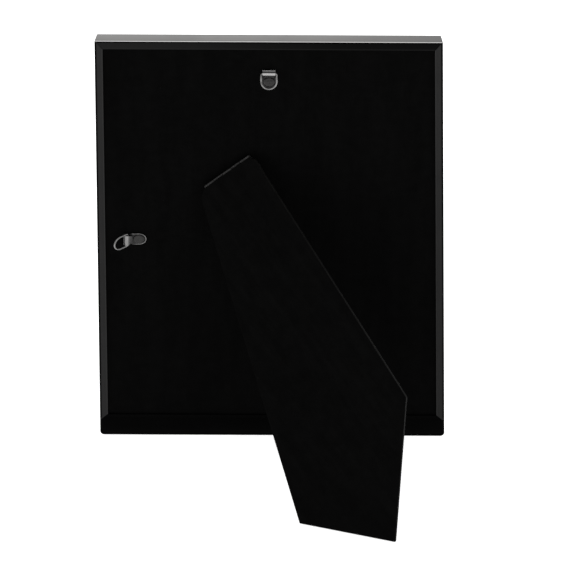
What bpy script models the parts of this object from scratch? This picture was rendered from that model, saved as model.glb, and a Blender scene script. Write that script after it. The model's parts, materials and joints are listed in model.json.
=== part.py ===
"""Multi photo frame for a table or a wall, built in metres with Z up.

The frame holds four upright 10 x 15 cm prints behind one mat, two by two. It leans back on a
diagonal easel leg. The front looks to -Y, the back with the leg and the two hangers to +Y.

Everything that belongs to the panel is built upright in "panel" coordinates: x across, z up
from the bottom edge, y = 0 on the back of the rims and negative toward the front. One empty
then leans the panel back. The leg hangs on an empty that lies on the slanting hinge line.
"""
import math

import bmesh
import bpy
from mathutils import Matrix, Vector

# Prints, two by two, and what surrounds them: these set the size of the frame
print_width = 0.100
print_height = 0.150
column_gap = 0.0012
row_gap = 0.004
side_cover = 0.0094
end_cover = 0.013
window_lap = 0.004

# Whole panel
frame_width = print_width * 2 + column_gap + side_cover * 2
frame_height = print_height * 2 + row_gap + end_cover * 2
fit_gap = 0.0003
merge_distance = 0.000003
smooth_angle = math.radians(40)

# Front rails: a thin metal angle, its outer front edge rounded
rail_face_width = 0.008
rail_face_thickness = 0.0013
rail_wall = 0.0015
rail_edge_radius = 0.0022
edge_steps = 5

# Back rims: flat bars with a lip that plugs inside the rail walls
rim_width = 0.0051
rim_thickness = 0.0009
rim_lip_thickness = 0.0006
rim_lip_depth = 0.0030

# Base: the bottom rail and rim turn up at both ends, their outer corners are rounded
base_rise = 0.0122
base_corner_radius = 0.0028
corner_steps = 5

# Corner keys that hold the four rails together
key_thickness = 0.0006
key_depth = 0.0050
key_arm = 0.016
key_strip_low = 0.0045
key_strip_high = 0.028

# Sheets between the rails
glass_thickness = 0.0015
mat_thickness = 0.0010
print_thickness = 0.00025
card_thickness = 0.0005
board_thickness = 0.00235

# Ends of the hinge line on the back: shares of the panel's width, measured from its middle,
# and of its height, measured from its bottom
hinge_low_shares = (0.18477, 0.63606)
hinge_high_shares = (0.05977, 0.71273)
leg_opening = math.radians(31)

# Leg outline when folded flat, same shares; the foot's height follows from the table
shoulder_shares = (0.03545, 0.71182)
knee_shares = (-0.48182, 0.29394)
heel_share = -0.185
hip_shares = (0.19, 0.61303)
leg_thickness = 0.0025
leg_top_setback = 0.0005
leg_edge_round = 0.0004
leg_edge_angle = math.radians(30)

# Hinge hardware
pin_radius = 0.0004
pin_head_radius = 0.0009
pin_head_thickness = 0.0005
leaf_thickness = 0.00035
leaf_depth = 0.011
knuckle_count = 5
curl_steps = 9
curl_sweep = math.radians(255)
rivet_shank_radius = 0.0008
rivet_shank_length = 0.0019
rivet_head_radius = 0.0018
rivet_head_thickness = 0.00035
leaf_rivet_drop = 0.0068
board_rivet_shares = (-0.3, 0.3)
leg_rivet_shares = (-0.36, 0.36)
rivet_tip_radius_share = 0.7
rivet_tip_length_share = 0.9
rivet_shoulder_share = 0.55
rivet_dome_shares = (0.8, 0.3)

# Hangers: folded strap with a long loop, round-headed rivet, D-ring
ring_wire_radius = 0.00055
ring_length = 0.0104
ring_clearance = 0.0003
strap_thickness = 0.0005
strap_length = 0.0121
strap_half_width = 0.0045
neck_half_width = 0.0041
loop_stretch = 0.0012
neck_end = 0.0018
tongue_start = 0.0027
flap_half_width = 0.0029
flap_length = 0.0031
flap_bend_shares = (0.75, 0.85)
tongue_round_degrees = (80, 65, 48, 30, 14, 0)
loop_sweep = math.radians(190)
strap_rivet_reach = 0.0073
strap_rivet_radius = 0.0036
strap_rivet_thickness = 0.0007
strap_rivet_shank = 0.0009
top_hanger_drop = 0.0260
side_hanger_inset = 0.0191
top_ring_angle = math.radians(150)
side_ring_angle = math.radians(36)
loop_steps = 12
round_steps = 28
wire_steps = 12
bow_steps = 18
ring_corner_steps = 4

# Depths of the stack, counted back from the front face
glass_front = rail_face_thickness + fit_gap
mat_front = glass_front + glass_thickness + fit_gap
print_front = mat_front + mat_thickness + fit_gap
card_front = print_front + print_thickness + fit_gap
board_front = card_front + card_thickness + fit_gap
board_back = board_front + board_thickness
rail_back = board_back
frame_depth = board_back + fit_gap + rim_thickness
key_outer = rail_wall + rim_lip_thickness + fit_gap * 2
sheet_inset = key_outer + key_thickness + fit_gap
half_width = frame_width / 2
column_pitch = print_width + column_gap
row_pitch = print_height + row_gap
window_width = print_width - window_lap * 2
window_height = print_height - window_lap * 2

# Hinge heights over the board
barrel_radius = pin_radius + fit_gap + leaf_thickness
hinge_y = board_back - frame_depth + fit_gap + barrel_radius
leg_under = barrel_radius + fit_gap

# Ring size and strap heights over the board
ring_corner_radius = ring_wire_radius + ring_clearance
ring_width = (neck_half_width + ring_corner_radius + ring_wire_radius) * 2
loop_inner = ring_wire_radius + ring_clearance
loop_outer = loop_inner + strap_thickness
hanger_y = board_back - frame_depth + fit_gap + loop_outer


def clear_scene():
    for obj in list(bpy.data.objects):
        bpy.data.objects.remove(obj, do_unlink=True)


def material(name, colour, roughness, metallic):
    mat = bpy.data.materials.new(name)
    mat.use_nodes = True
    shader = mat.node_tree.nodes["Principled BSDF"]
    shader.inputs["Base Color"].default_value = (*colour, 1.0)
    shader.inputs["Roughness"].default_value = roughness
    shader.inputs["Metallic"].default_value = metallic
    mat.diffuse_color = (*colour, 1.0)
    return mat


def empty(name, parent=None, matrix=None):
    obj = bpy.data.objects.new(name, None)
    bpy.context.scene.collection.objects.link(obj)
    obj.parent = parent
    if matrix is not None:
        obj.matrix_local = matrix
    return obj


def add_mesh(name, verts, faces, look, parent, smooth=False):
    """Closed mesh from plain lists, doubles merged, faces turned out."""
    mesh = bpy.data.meshes.new(name)
    bm = bmesh.new()
    rows = [bm.verts.new(v) for v in verts]
    for face in faces:
        bm.faces.new([rows[i] for i in face])
    bmesh.ops.remove_doubles(bm, verts=bm.verts, dist=merge_distance)
    bmesh.ops.recalc_face_normals(bm, faces=bm.faces)
    bm.to_mesh(mesh)
    bm.free()
    obj = bpy.data.objects.new(name, mesh)
    bpy.context.scene.collection.objects.link(obj)
    obj.parent = parent
    if look is not None:
        mesh.materials.append(look)
    if smooth:
        mesh.polygons.foreach_set("use_smooth", [True] * len(mesh.polygons))
        mesh.set_sharp_from_angle(angle=smooth_angle)
    return obj


def loft(rings, closed=False):
    """Vertices and faces of a skin over equal rings of points, capped when not closed."""
    size = len(rings[0])
    verts = [point for ring in rings for point in ring]
    count = len(rings)
    faces = []
    for i in range(count if closed else count - 1):
        here = i * size
        there = (i + 1) % count * size
        for j in range(size):
            k = (j + 1) % size
            faces.append((here + j, here + k, there + k, there + j))
    if not closed:
        faces.append(tuple(range(size)))
        faces.append(tuple((count - 1) * size + j for j in range(size)))
    return verts, faces


def drop_thin(verts, faces):
    """Leave out faces whose corners fall together, so a merged mesh stays clean."""
    kept = []
    for face in faces:
        corners = []
        for i in face:
            if all((Vector(verts[i]) - Vector(verts[j])).length > merge_distance for j in corners):
                corners.append(i)
        if len(corners) > 2:
            kept.append(tuple(corners))
    return kept


def slab(name, outline, low_y, high_y, look, parent):
    """Flat piece: an x-z outline given a thickness along y."""
    rings = [[(x, y, z) for x, z in outline] for y in (low_y, high_y)]
    return add_mesh(name, *loft(rings), look, parent)


def sheet(name, half_x, low_z, high_z, front, thickness, look, parent, middle_x=0.0):
    low = front - frame_depth
    outline = [(middle_x - half_x, low_z), (middle_x + half_x, low_z),
               (middle_x + half_x, high_z), (middle_x - half_x, high_z)]
    return slab(name, outline, low, low + thickness, look, parent)


def lathe_points(profile, steps):
    """Rings of a turned piece: profile of (radius, height), both ends closed on the axis."""
    rings = []
    for radius, height in profile:
        ring = []
        for i in range(steps):
            turn = math.tau * i / steps
            ring.append((radius * math.cos(turn), radius * math.sin(turn), height))
        rings.append(ring)
    return rings


def lathe(name, profile, steps, look, parent, matrix=None):
    obj = add_mesh(name, *loft(lathe_points(profile, steps)), look, parent, smooth=True)
    if matrix is not None:
        obj.matrix_local = matrix
    return obj


def rivets(name, profile, steps, places, look, parent):
    """One rivet for each place; they share one mesh."""
    first = lathe(name + "_1", profile, steps, look, parent, places[0])
    for number, place in enumerate(places[1:], 2):
        copy = bpy.data.objects.new(f"{name}_{number}", first.data)
        bpy.context.scene.collection.objects.link(copy)
        copy.parent = parent
        copy.matrix_local = place


def rivet_profile(head_radius, head_thickness, shank_radius, shank_length, head_low):
    """Domed head over a shank that points to -z; head_low is the height of the head's underside."""
    top = head_low + head_thickness
    shoulder = head_low + head_thickness * rivet_shoulder_share
    dome = [(head_radius * share, top) for share in rivet_dome_shares]
    return [(shank_radius * rivet_tip_radius_share, head_low - shank_length),
            (shank_radius, head_low - shank_length * rivet_tip_length_share),
            (shank_radius, head_low), (head_radius, head_low), (head_radius, shoulder)] + dome


def bore(target, places, radius, low, high, parent):
    """Cut one round hole at each place with a hidden drill."""
    profile = [(radius, low), (radius, high)]
    for number, place in enumerate(places, 1):
        cutter = lathe(f"{target.name}_drill_{number}", profile, round_steps // 2, None, parent,
                       place)
        cutter.hide_render = True
        cutter.display_type = "WIRE"
        cut = target.modifiers.new(f"hole {number}", "BOOLEAN")
        cut.operation = "DIFFERENCE"
        cut.solver = "EXACT"
        cut.object = cutter


# Rails and rims as sweeps of one cross section

def rail_section():
    """Points (inset from the outer edge, depth from the front) of the front angle."""
    points = []
    for i in range(edge_steps + 1):
        turn = math.pi / 2 * i / edge_steps
        points.append((rail_edge_radius * (1 - math.cos(turn)),
                       rail_edge_radius * (1 - math.sin(turn))))
    points += [(rail_face_width, 0.0), (rail_face_width, rail_face_thickness),
               (rail_wall, rail_face_thickness), (rail_wall, rail_back), (0.0, rail_back)]
    return points


def rim_section():
    """Flat bar with its lip; the last inset is the bar's inner edge."""
    front = frame_depth - rim_thickness
    lip_outer = rail_wall + fit_gap
    lip_inner = lip_outer + rim_lip_thickness
    lip_front = front - rim_lip_depth
    return [(0.0, front), (lip_outer, front), (lip_outer, lip_front), (lip_inner, lip_front),
            (lip_inner, front), (rim_width, front), (rim_width, frame_depth),
            (0.0, frame_depth)]


mitre_setback = fit_gap / math.sqrt(2)


def side_ends(side):
    """Both ends of an upright rail: lower cut over the base, upper mitre."""
    def low(inset):
        return side * (half_width - inset), base_rise + inset + mitre_setback

    def high(inset):
        return side * (half_width - inset), frame_height - inset - mitre_setback
    return [low, high]


def top_ends():
    def left(inset):
        return -half_width + inset + mitre_setback, frame_height - inset

    def right(inset):
        return half_width - inset - mitre_setback, frame_height - inset
    return [left, right]


def base_stations():
    """Stations of the base: up-turned end, rounded corner, and the same mirrored."""
    def end(side):
        return lambda inset: (side * (half_width - inset), base_rise + inset - mitre_setback)

    def corner(side, turn):
        def at(inset):
            radius = max(base_corner_radius - inset, 0.0)
            middle = max(base_corner_radius, inset)
            return (side * (half_width - middle + radius * math.cos(turn)),
                    middle - radius * math.sin(turn))
        return at
    turns = [math.pi / 2 * i / corner_steps for i in range(corner_steps + 1)]
    left = [corner(-1, turn) for turn in turns]
    right = [corner(1, turn) for turn in reversed(turns)]
    return [end(-1)] + left + right + [end(1)]


def sweep(name, section, stations, look, parent, inner_edge=None):
    """Skin a cross section over its stations. inner_edge replaces the widest inset."""
    widest = max(inset for inset, depth in section)
    rings = []
    for n, at in enumerate(stations):
        ring = []
        for inset, depth in section:
            if inner_edge is not None and inset == widest:
                x, z = inner_edge[n]
            else:
                x, z = at(inset)
            ring.append((x, depth - frame_depth, z))
        rings.append(ring)
    verts, faces = loft(rings)
    return add_mesh(name, verts, drop_thin(verts, faces), look, parent)


def base_inner_edge(count):
    """The bottom rim is a broad band: its upper edge runs straight between the mitres."""
    high = base_rise + rim_width - mitre_setback
    reach = half_width - rim_width
    half = count // 2
    return [(-reach, high)] * half + [(reach, high)] * half


def frame_pieces(panel, looks):
    rails = {"rail_left": side_ends(-1), "rail_right": side_ends(1), "rail_top": top_ends(),
             "rail_bottom": base_stations()}
    for name, stations in rails.items():
        sweep(name, rail_section(), stations, looks["rail"], panel)
    sweep("rim_left", rim_section(), side_ends(-1), looks["rim"], panel)
    sweep("rim_right", rim_section(), side_ends(1), looks["rim"], panel)
    sweep("rim_top", rim_section(), top_ends(), looks["rim"], panel)
    stations = base_stations()
    sweep("rim_bottom", rim_section(), stations, looks["base"], panel,
          base_inner_edge(len(stations)))


def corner_keys(panel, look):
    """Two angle keys at the top, two straight keys across the joints over the base."""
    low = glass_front - frame_depth
    high = low + key_depth
    outer = half_width - key_outer
    inner = outer - key_thickness
    arm = outer - key_arm
    top = frame_height - key_outer
    for hand, side in (("left", -1), ("right", 1)):
        angle = [(side * arm, top), (side * outer, top), (side * outer, top - key_arm),
                 (side * inner, top - key_arm), (side * inner, top - key_thickness),
                 (side * arm, top - key_thickness)]
        strip = [(side * inner, key_strip_low), (side * outer, key_strip_low),
                 (side * outer, key_strip_high), (side * inner, key_strip_high)]
        slab(f"corner_key_top_{hand}", angle, low, high, look, panel)
        slab(f"corner_key_base_{hand}", strip, low, high, look, panel)


# Sheets in the frame

def mat_board(panel, look):
    """Mat with four windows, built cell by cell between its grid lines."""
    half = half_width - sheet_inset
    low_z = sheet_inset
    high_z = frame_height - sheet_inset
    middle_z = frame_height / 2
    xs = [-half]
    zs = [low_z]
    for way in (-1, 1):
        xs.append(way * column_pitch / 2 - window_width / 2)
        xs.append(way * column_pitch / 2 + window_width / 2)
        zs.append(middle_z + way * row_pitch / 2 - window_height / 2)
        zs.append(middle_z + way * row_pitch / 2 + window_height / 2)
    xs.append(half)
    zs.append(high_z)
    front = mat_front - frame_depth
    ys = (front, front + mat_thickness)
    columns = len(xs)
    rows = len(zs)
    verts = [(x, y, z) for y in ys for z in zs for x in xs]

    def at(layer, row, column):
        return (layer * rows + row) * columns + column

    def solid(row, column):
        if row < 0 or column < 0 or row > rows - 2 or column > columns - 2:
            return False
        return row % 2 == 0 or column % 2 == 0
    faces = []
    for row in range(rows - 1):
        for column in range(columns - 1):
            if not solid(row, column):
                continue
            for layer in (0, 1):
                faces.append((at(layer, row, column), at(layer, row, column + 1),
                              at(layer, row + 1, column + 1), at(layer, row + 1, column)))
            edges = (((row, column), (row, column + 1), (row - 1, column)),
                     ((row + 1, column), (row + 1, column + 1), (row + 1, column)),
                     ((row, column), (row + 1, column), (row, column - 1)),
                     ((row, column + 1), (row + 1, column + 1), (row, column + 1)))
            for start, end, beyond in edges:
                if not solid(*beyond):
                    faces.append((at(0, *start), at(0, *end), at(1, *end), at(1, *start)))
    add_mesh("mat_board", verts, faces, look, panel)


def sheets(panel, looks):
    half = half_width - sheet_inset
    high = frame_height - sheet_inset
    sheet("glass", half, sheet_inset, high, glass_front, glass_thickness, looks["glass"], panel)
    mat_board(panel, looks["mat"])
    for level, row in (("lower", -1), ("upper", 1)):
        for hand, column in (("left", -1), ("right", 1)):
            middle_z = frame_height / 2 + row * row_pitch / 2
            sheet(f"print_{level}_{hand}", print_width / 2, middle_z - print_height / 2,
                  middle_z + print_height / 2, print_front, print_thickness,
                  looks["print"], panel, column * column_pitch / 2)
    sheet("filler_card", half, sheet_inset, high, card_front, card_thickness,
          looks["card"], panel)
    return sheet("back_board", half, sheet_inset, high, board_front, board_thickness,
                 looks["board"], panel)


# Hinge

def on_back(shares):
    """Point on the back at the pin's depth, from shares of the panel's width and height."""
    across, up = shares
    return Vector((across * frame_width, hinge_y, up * frame_height))


def hinge_matrix():
    """x along the pin, y down the folded leg, z out of the back; origin mid pin."""
    low = on_back(hinge_low_shares)
    high = on_back(hinge_high_shares)
    along = (low - high).normalized()
    out = Vector((0.0, 1.0, 0.0))
    down = out.cross(along)
    middle = (low + high) / 2
    matrix = Matrix((along, down, out)).transposed().to_4x4()
    matrix.translation = middle
    return matrix, (high - low).length


def lean_angle(matrix):
    """Lean at which the foot edge, level when folded, is level again with the leg open."""
    slope = abs(matrix.col[0][0])
    return math.atan(slope * math.tan(leg_opening / 2))


def foot_height(panel_turn, hinge_turn):
    """Panel z of the foot edge that brings the open leg's inner foot edge to the table."""
    opened = panel_turn @ hinge_turn @ Matrix.Rotation(leg_opening, 4, "X")
    folded = hinge_turn.inverted()

    def world_z(edge_z):
        point = folded @ Vector((knee_shares[0] * frame_width, hinge_y + leg_under, edge_z))
        return (opened @ point).z
    start = world_z(0.0)
    step = world_z(frame_height) - start
    return -start / step * frame_height


def curled_stations(side):
    """Inner and outer points (y, z) of a leaf that curls round the pin; side -1 lies low."""
    flat = side * (barrel_radius - leaf_thickness)
    face = side * barrel_radius
    points = [((leaf_depth, flat), (leaf_depth, face))]
    clear = barrel_radius + fit_gap
    points.append(((clear, flat), (clear, face)))
    for i in range(curl_steps + 1):
        turn = curl_sweep * i / curl_steps
        y = -math.sin(turn)
        z = side * math.cos(turn)
        small = barrel_radius - leaf_thickness
        points.append(((small * y, small * z), (barrel_radius * y, barrel_radius * z)))
    return points


def knuckle_columns(length):
    """Cuts along the pin and whose knuckle stands in each column, None for a gap."""
    knuckle = (length - fit_gap * (knuckle_count - 1)) / knuckle_count
    cuts = [-length / 2]
    owners = []
    for i in range(knuckle_count):
        cuts.append(cuts[-1] + knuckle)
        owners.append(i % 2)
        if i < knuckle_count - 1:
            cuts.append(cuts[-1] + fit_gap)
            owners.append(None)
    return cuts, owners


def hinge_leaf(name, side, owner, length, look, parent):
    """Leaf built from cells: the plate runs through, the curl only where it owns a knuckle."""
    stations = curled_stations(side)
    cuts, owners = knuckle_columns(length)
    verts = [(x, y, z) for x in cuts for pair in stations for y, z in pair]
    rows = len(stations)

    def at(column, row, layer):
        return (column * rows + row) * 2 + layer

    def solid(column, row):
        if column < 0 or row < 0 or column > len(owners) - 1 or row > rows - 2:
            return False
        return row == 0 or owners[column] == owner
    faces = []
    for column in range(len(owners)):
        for row in range(rows - 1):
            if not solid(column, row):
                continue
            for layer in (0, 1):
                faces.append((at(column, row, layer), at(column + 1, row, layer),
                              at(column + 1, row + 1, layer), at(column, row + 1, layer)))
            edges = (((column, row), (column + 1, row), (column, row - 1)),
                     ((column, row + 1), (column + 1, row + 1), (column, row + 1)),
                     ((column, row), (column, row + 1), (column - 1, row)),
                     ((column + 1, row), (column + 1, row + 1), (column + 1, row)))
            for start, end, beyond in edges:
                if not solid(*beyond):
                    faces.append((at(*start, 0), at(*end, 0), at(*end, 1), at(*start, 1)))
    bm = bmesh.new()
    points = [bm.verts.new(v) for v in verts]
    for face in faces:
        bm.faces.new([points[i] for i in face])
    loose = [v for v in bm.verts if not v.link_faces]
    bmesh.ops.delete(bm, geom=loose, context="VERTS")
    bmesh.ops.recalc_face_normals(bm, faces=bm.faces)
    mesh = bpy.data.meshes.new(name)
    bm.to_mesh(mesh)
    bm.free()
    mesh.materials.append(look)
    mesh.polygons.foreach_set("use_smooth", [True] * len(mesh.polygons))
    mesh.set_sharp_from_angle(angle=smooth_angle)
    obj = bpy.data.objects.new(name, mesh)
    bpy.context.scene.collection.objects.link(obj)
    obj.parent = parent
    return obj


def leg_board(folded, foot_z, length, look, parent):
    """Leg outline taken from panel points into hinge coordinates, then given its thickness."""
    foot_share = foot_z / frame_height
    corners = [shoulder_shares, knee_shares, (knee_shares[0], foot_share),
               (heel_share, foot_share), hip_shares]
    outline = [(length / 2, leg_top_setback), (-length / 2, leg_top_setback)]
    for shares in corners:
        point = folded @ on_back(shares)
        outline.append((point.x, point.y))
    heights = (leg_under, leg_under + leg_thickness)
    rings = [[(x, y, z) for x, y in outline] for z in heights]
    obj = add_mesh("leg_board", *loft(rings), look, parent)
    soften = obj.modifiers.new("worn edges", "BEVEL")
    soften.width = leg_edge_round
    soften.segments = 2
    soften.limit_method = "ANGLE"
    soften.angle_limit = leg_edge_angle
    return obj


def hinge_and_leg(panel, looks, panel_turn):
    hinge_turn, length = hinge_matrix()
    foot_z = foot_height(panel_turn, hinge_turn)
    fixed = empty("hinge_line", panel, hinge_turn)
    moving = empty("leg_pivot", fixed, Matrix.Rotation(leg_opening, 4, "X"))
    leg = leg_board(hinge_turn.inverted(), foot_z, length, looks["leg"], moving)

    low_leaf = hinge_leaf("hinge_leaf_board", -1, 1, length, looks["steel"], fixed)
    high_leaf = hinge_leaf("hinge_leaf_leg", 1, 0, length, looks["steel"], moving)

    end = length / 2 + fit_gap
    pin = [(pin_head_radius, -end - pin_head_thickness), (pin_head_radius, -end),
           (pin_radius, -end), (pin_radius, end), (pin_head_radius, end),
           (pin_head_radius, end + pin_head_thickness)]
    lathe("hinge_pin", pin, wire_steps, looks["steel"], fixed,
          Matrix.Rotation(math.pi / 2, 4, "Y"))

    # Board rivets point into the board, leg rivets into the leg
    seat = barrel_radius - leaf_thickness - fit_gap
    profile = rivet_profile(rivet_head_radius, rivet_head_thickness, rivet_shank_radius,
                            rivet_shank_length, -seat)
    board_places = [Matrix.Translation((share * length, leaf_rivet_drop, 0.0))
                    for share in board_rivet_shares]
    flip = Matrix.Rotation(math.pi, 4, "X")
    leg_places = [Matrix.Translation((share * length, leaf_rivet_drop, 0.0)) @ flip
                  for share in leg_rivet_shares]
    rivets("board_leaf_rivet", profile, round_steps // 2, board_places,
           looks["dark_steel"], fixed)
    rivets("leg_leaf_rivet", profile, round_steps // 2, leg_places,
           looks["dark_steel"], moving)

    hole = rivet_shank_radius + fit_gap
    deep = -seat - rivet_shank_length - fit_gap
    bore(low_leaf, board_places, hole, deep, 0.0, fixed)
    bore(high_leaf, leg_places, hole, deep, 0.0, moving)
    bore(leg, leg_places, hole, deep, 0.0, moving)
    return [hinge_turn @ place for place in board_places], hole, deep


# Hangers

def loop_station(turn, middle):
    """Inner and outer point of the strap's loop, one turn round a middle on the y axis."""
    y = -math.sin(turn)
    z = -math.cos(turn)
    return ((middle + loop_inner * y, loop_inner * z), (middle + loop_outer * y, loop_outer * z),
            neck_half_width)


def strap_stations():
    """Flat tongue, long loop round the ring bar, short flap back over the tongue."""
    tongue_low = -loop_outer
    tongue_high = -loop_inner
    stations = []
    rounding = strap_half_width
    middle = strap_length - rounding
    for degrees in tongue_round_degrees:
        turn = math.radians(degrees)
        y = middle + rounding * math.sin(turn)
        stations.append(((y, tongue_high), (y, tongue_low), rounding * math.cos(turn)))
    for y, half in ((tongue_start, strap_half_width), (neck_end, neck_half_width)):
        stations.append(((y, tongue_high), (y, tongue_low), half))
    for i in range(loop_steps + 1):
        stations.append(loop_station(math.pi * i / loop_steps, -loop_stretch))
    for turn in (math.pi, loop_sweep):
        stations.append(loop_station(turn, 0.0))
    low = tongue_high + fit_gap
    high = low + strap_thickness
    under_bend, over_bend = [flap_length * share for share in flap_bend_shares]
    stations.append(((under_bend, low), (over_bend, high), flap_half_width))
    stations.append(((flap_length, low), (flap_length, high), flap_half_width))
    return stations


def strap(name, look, parent):
    rings = []
    for (inner_y, inner_z), (outer_y, outer_z), half in strap_stations():
        rings.append([(-half, inner_y, inner_z), (half, inner_y, inner_z),
                      (half, outer_y, outer_z), (-half, outer_y, outer_z)])
    return add_mesh(name, *loft(rings), look, parent, smooth=True)


def ring_path():
    """Closed D: straight bar on the axis, rounded corners, half-round bow toward -y."""
    half = ring_width / 2 - ring_wire_radius
    bow = ring_length - ring_wire_radius - half
    corner = half - ring_corner_radius
    quarter = [math.pi / 2 * i / ring_corner_steps for i in range(ring_corner_steps + 1)]
    path = []
    for turn in quarter:
        path.append((corner + ring_corner_radius * math.sin(turn),
                     ring_corner_radius * (math.cos(turn) - 1)))
    for i in range(bow_steps + 1):
        turn = math.pi * i / bow_steps
        path.append((half * math.cos(turn), -bow - half * math.sin(turn)))
    for turn in reversed(quarter):
        path.append((-corner - ring_corner_radius * math.sin(turn),
                     ring_corner_radius * (math.cos(turn) - 1)))
    return path


def ring(name, look, parent):
    """Wire swept round the flat D path."""
    path = [Vector((x, y, 0.0)) for x, y in ring_path()]
    count = len(path)
    rings = []
    for i, point in enumerate(path):
        ahead = (path[(i + 1) % count] - point).normalized()
        behind = (point - path[i - 1]).normalized()
        along = (ahead + behind).normalized()
        across = along.cross(Vector((0.0, 0.0, 1.0)))
        loop = []
        for j in range(wire_steps):
            turn = math.tau * j / wire_steps
            offset = across * math.cos(turn) + Vector((0.0, 0.0, math.sin(turn)))
            loop.append(tuple(point + offset * ring_wire_radius))
        rings.append(loop)
    return add_mesh(name, *loft(rings, closed=True), look, parent, smooth=True)


def strap_hole_low():
    """Bottom of the blind hole under a strap, measured from the ring's axis."""
    return -loop_inner - rivet_shank_length


def hanger(name, middle_x, middle_z, tongue, ring_angle, panel, looks):
    """Strap, rivet and ring; tongue is the way the strap points along the board."""
    out = Vector((0.0, 1.0, 0.0))
    across = tongue.cross(out)
    matrix = Matrix((across, tongue, out)).transposed().to_4x4()
    matrix.translation = Vector((middle_x, hanger_y, middle_z))
    seat = empty(name + "_seat", panel, matrix)
    pivot = empty(name + "_ring_pivot", seat, Matrix.Rotation(-ring_angle, 4, "X"))
    band = strap(name + "_strap", looks["zinc"], seat)
    ring(name + "_ring", looks["ring"], pivot)
    place = Matrix.Translation((0.0, strap_rivet_reach, 0.0))
    profile = rivet_profile(strap_rivet_radius, strap_rivet_thickness, strap_rivet_shank,
                            rivet_shank_length, fit_gap - loop_inner)
    lathe(name + "_rivet", profile, round_steps, looks["dark_steel"], seat, place)
    bore(band, [place], strap_rivet_shank + fit_gap, strap_hole_low(), 0.0, seat)
    return matrix @ place


def all_looks():
    return {
        "rail": material("satin_metal", (0.42, 0.42, 0.43), 0.38, 1.0),
        "rim": material("charcoal_metal", (0.035, 0.035, 0.037), 0.45, 0.6),
        "base": material("black_metal", (0.012, 0.012, 0.013), 0.5, 0.4),
        "zinc": material("zinc_plate", (0.62, 0.61, 0.60), 0.35, 1.0),
        "ring": material("zinc_wire", (0.62, 0.61, 0.60), 0.30, 1.0),
        "steel": material("hinge_steel", (0.30, 0.30, 0.31), 0.40, 1.0),
        "dark_steel": material("dark_steel", (0.12, 0.12, 0.12), 0.45, 1.0),
        "glass": material("clear_glass", (0.86, 0.90, 0.89), 0.05, 0.0),
        "mat": material("white_mat", (0.86, 0.85, 0.82), 0.85, 0.0),
        "print": material("plain_print", (0.46, 0.52, 0.56), 0.45, 0.0),
        "card": material("grey_card", (0.45, 0.43, 0.40), 0.9, 0.0),
        "board": material("black_velour", (0.008, 0.008, 0.008), 0.95, 0.0),
        "leg": material("black_velour_leg", (0.011, 0.011, 0.011), 0.9, 0.0),
    }


def centre(root):
    """Put the origin under the middle of the whole object, its lowest point on z = 0."""
    bpy.context.view_layer.update()
    points = []
    for obj in bpy.data.objects:
        if obj.type == "MESH" and not obj.hide_render:
            points += [obj.matrix_world @ v.co for v in obj.data.vertices]
    xs = [p.x for p in points]
    ys = [p.y for p in points]
    lowest = min(p.z for p in points)
    root.location = (-(min(xs) + max(xs)) / 2, -(min(ys) + max(ys)) / 2, -lowest)
    bpy.context.view_layer.update()


def build():
    clear_scene()
    looks = all_looks()
    root = empty("photo_frame")
    lean = lean_angle(hinge_matrix()[0])
    panel_turn = Matrix.Rotation(-lean, 4, "X")
    panel = empty("panel", root, panel_turn)

    frame_pieces(panel, looks)
    corner_keys(panel, looks["steel"])
    board = sheets(panel, looks)

    hinge_places, hinge_hole, hinge_deep = hinge_and_leg(panel, looks, panel_turn)
    # Both rings are held by the folds: the top one over its strap, the side one away from it
    down = Vector((0.0, 0.0, -1.0))
    inward = Vector((-1.0, 0.0, 0.0))
    top = hanger("top_hanger", 0.0, frame_height - top_hanger_drop, down, top_ring_angle,
                 panel, looks)
    side = hanger("side_hanger", half_width - side_hanger_inset, frame_height / 2, inward,
                  side_ring_angle, panel, looks)

    # Blind holes in the back board for every shank that enters it
    bore(board, hinge_places, hinge_hole, hinge_deep, 0.0, panel)
    bore(board, [top, side], strap_rivet_shank + fit_gap, strap_hole_low(), 0.0, panel)
    centre(root)


build()
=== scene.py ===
# %% [markdown]
# # A frame for several prints, seen from behind
#
# The object is a thin metal frame that leans back on a slanting easel leg. This lesson takes
# its solid model as it is and gives it the looks of the real thing: satin metal edges, dark
# mitred rims, black velour, a steel hinge and two bright wire rings. The model is loaded
# first, because every piece that follows is placed by it.

# %% Load the solid model
import json
import math

import bmesh
import bpy
from mathutils import Matrix, Vector

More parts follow.
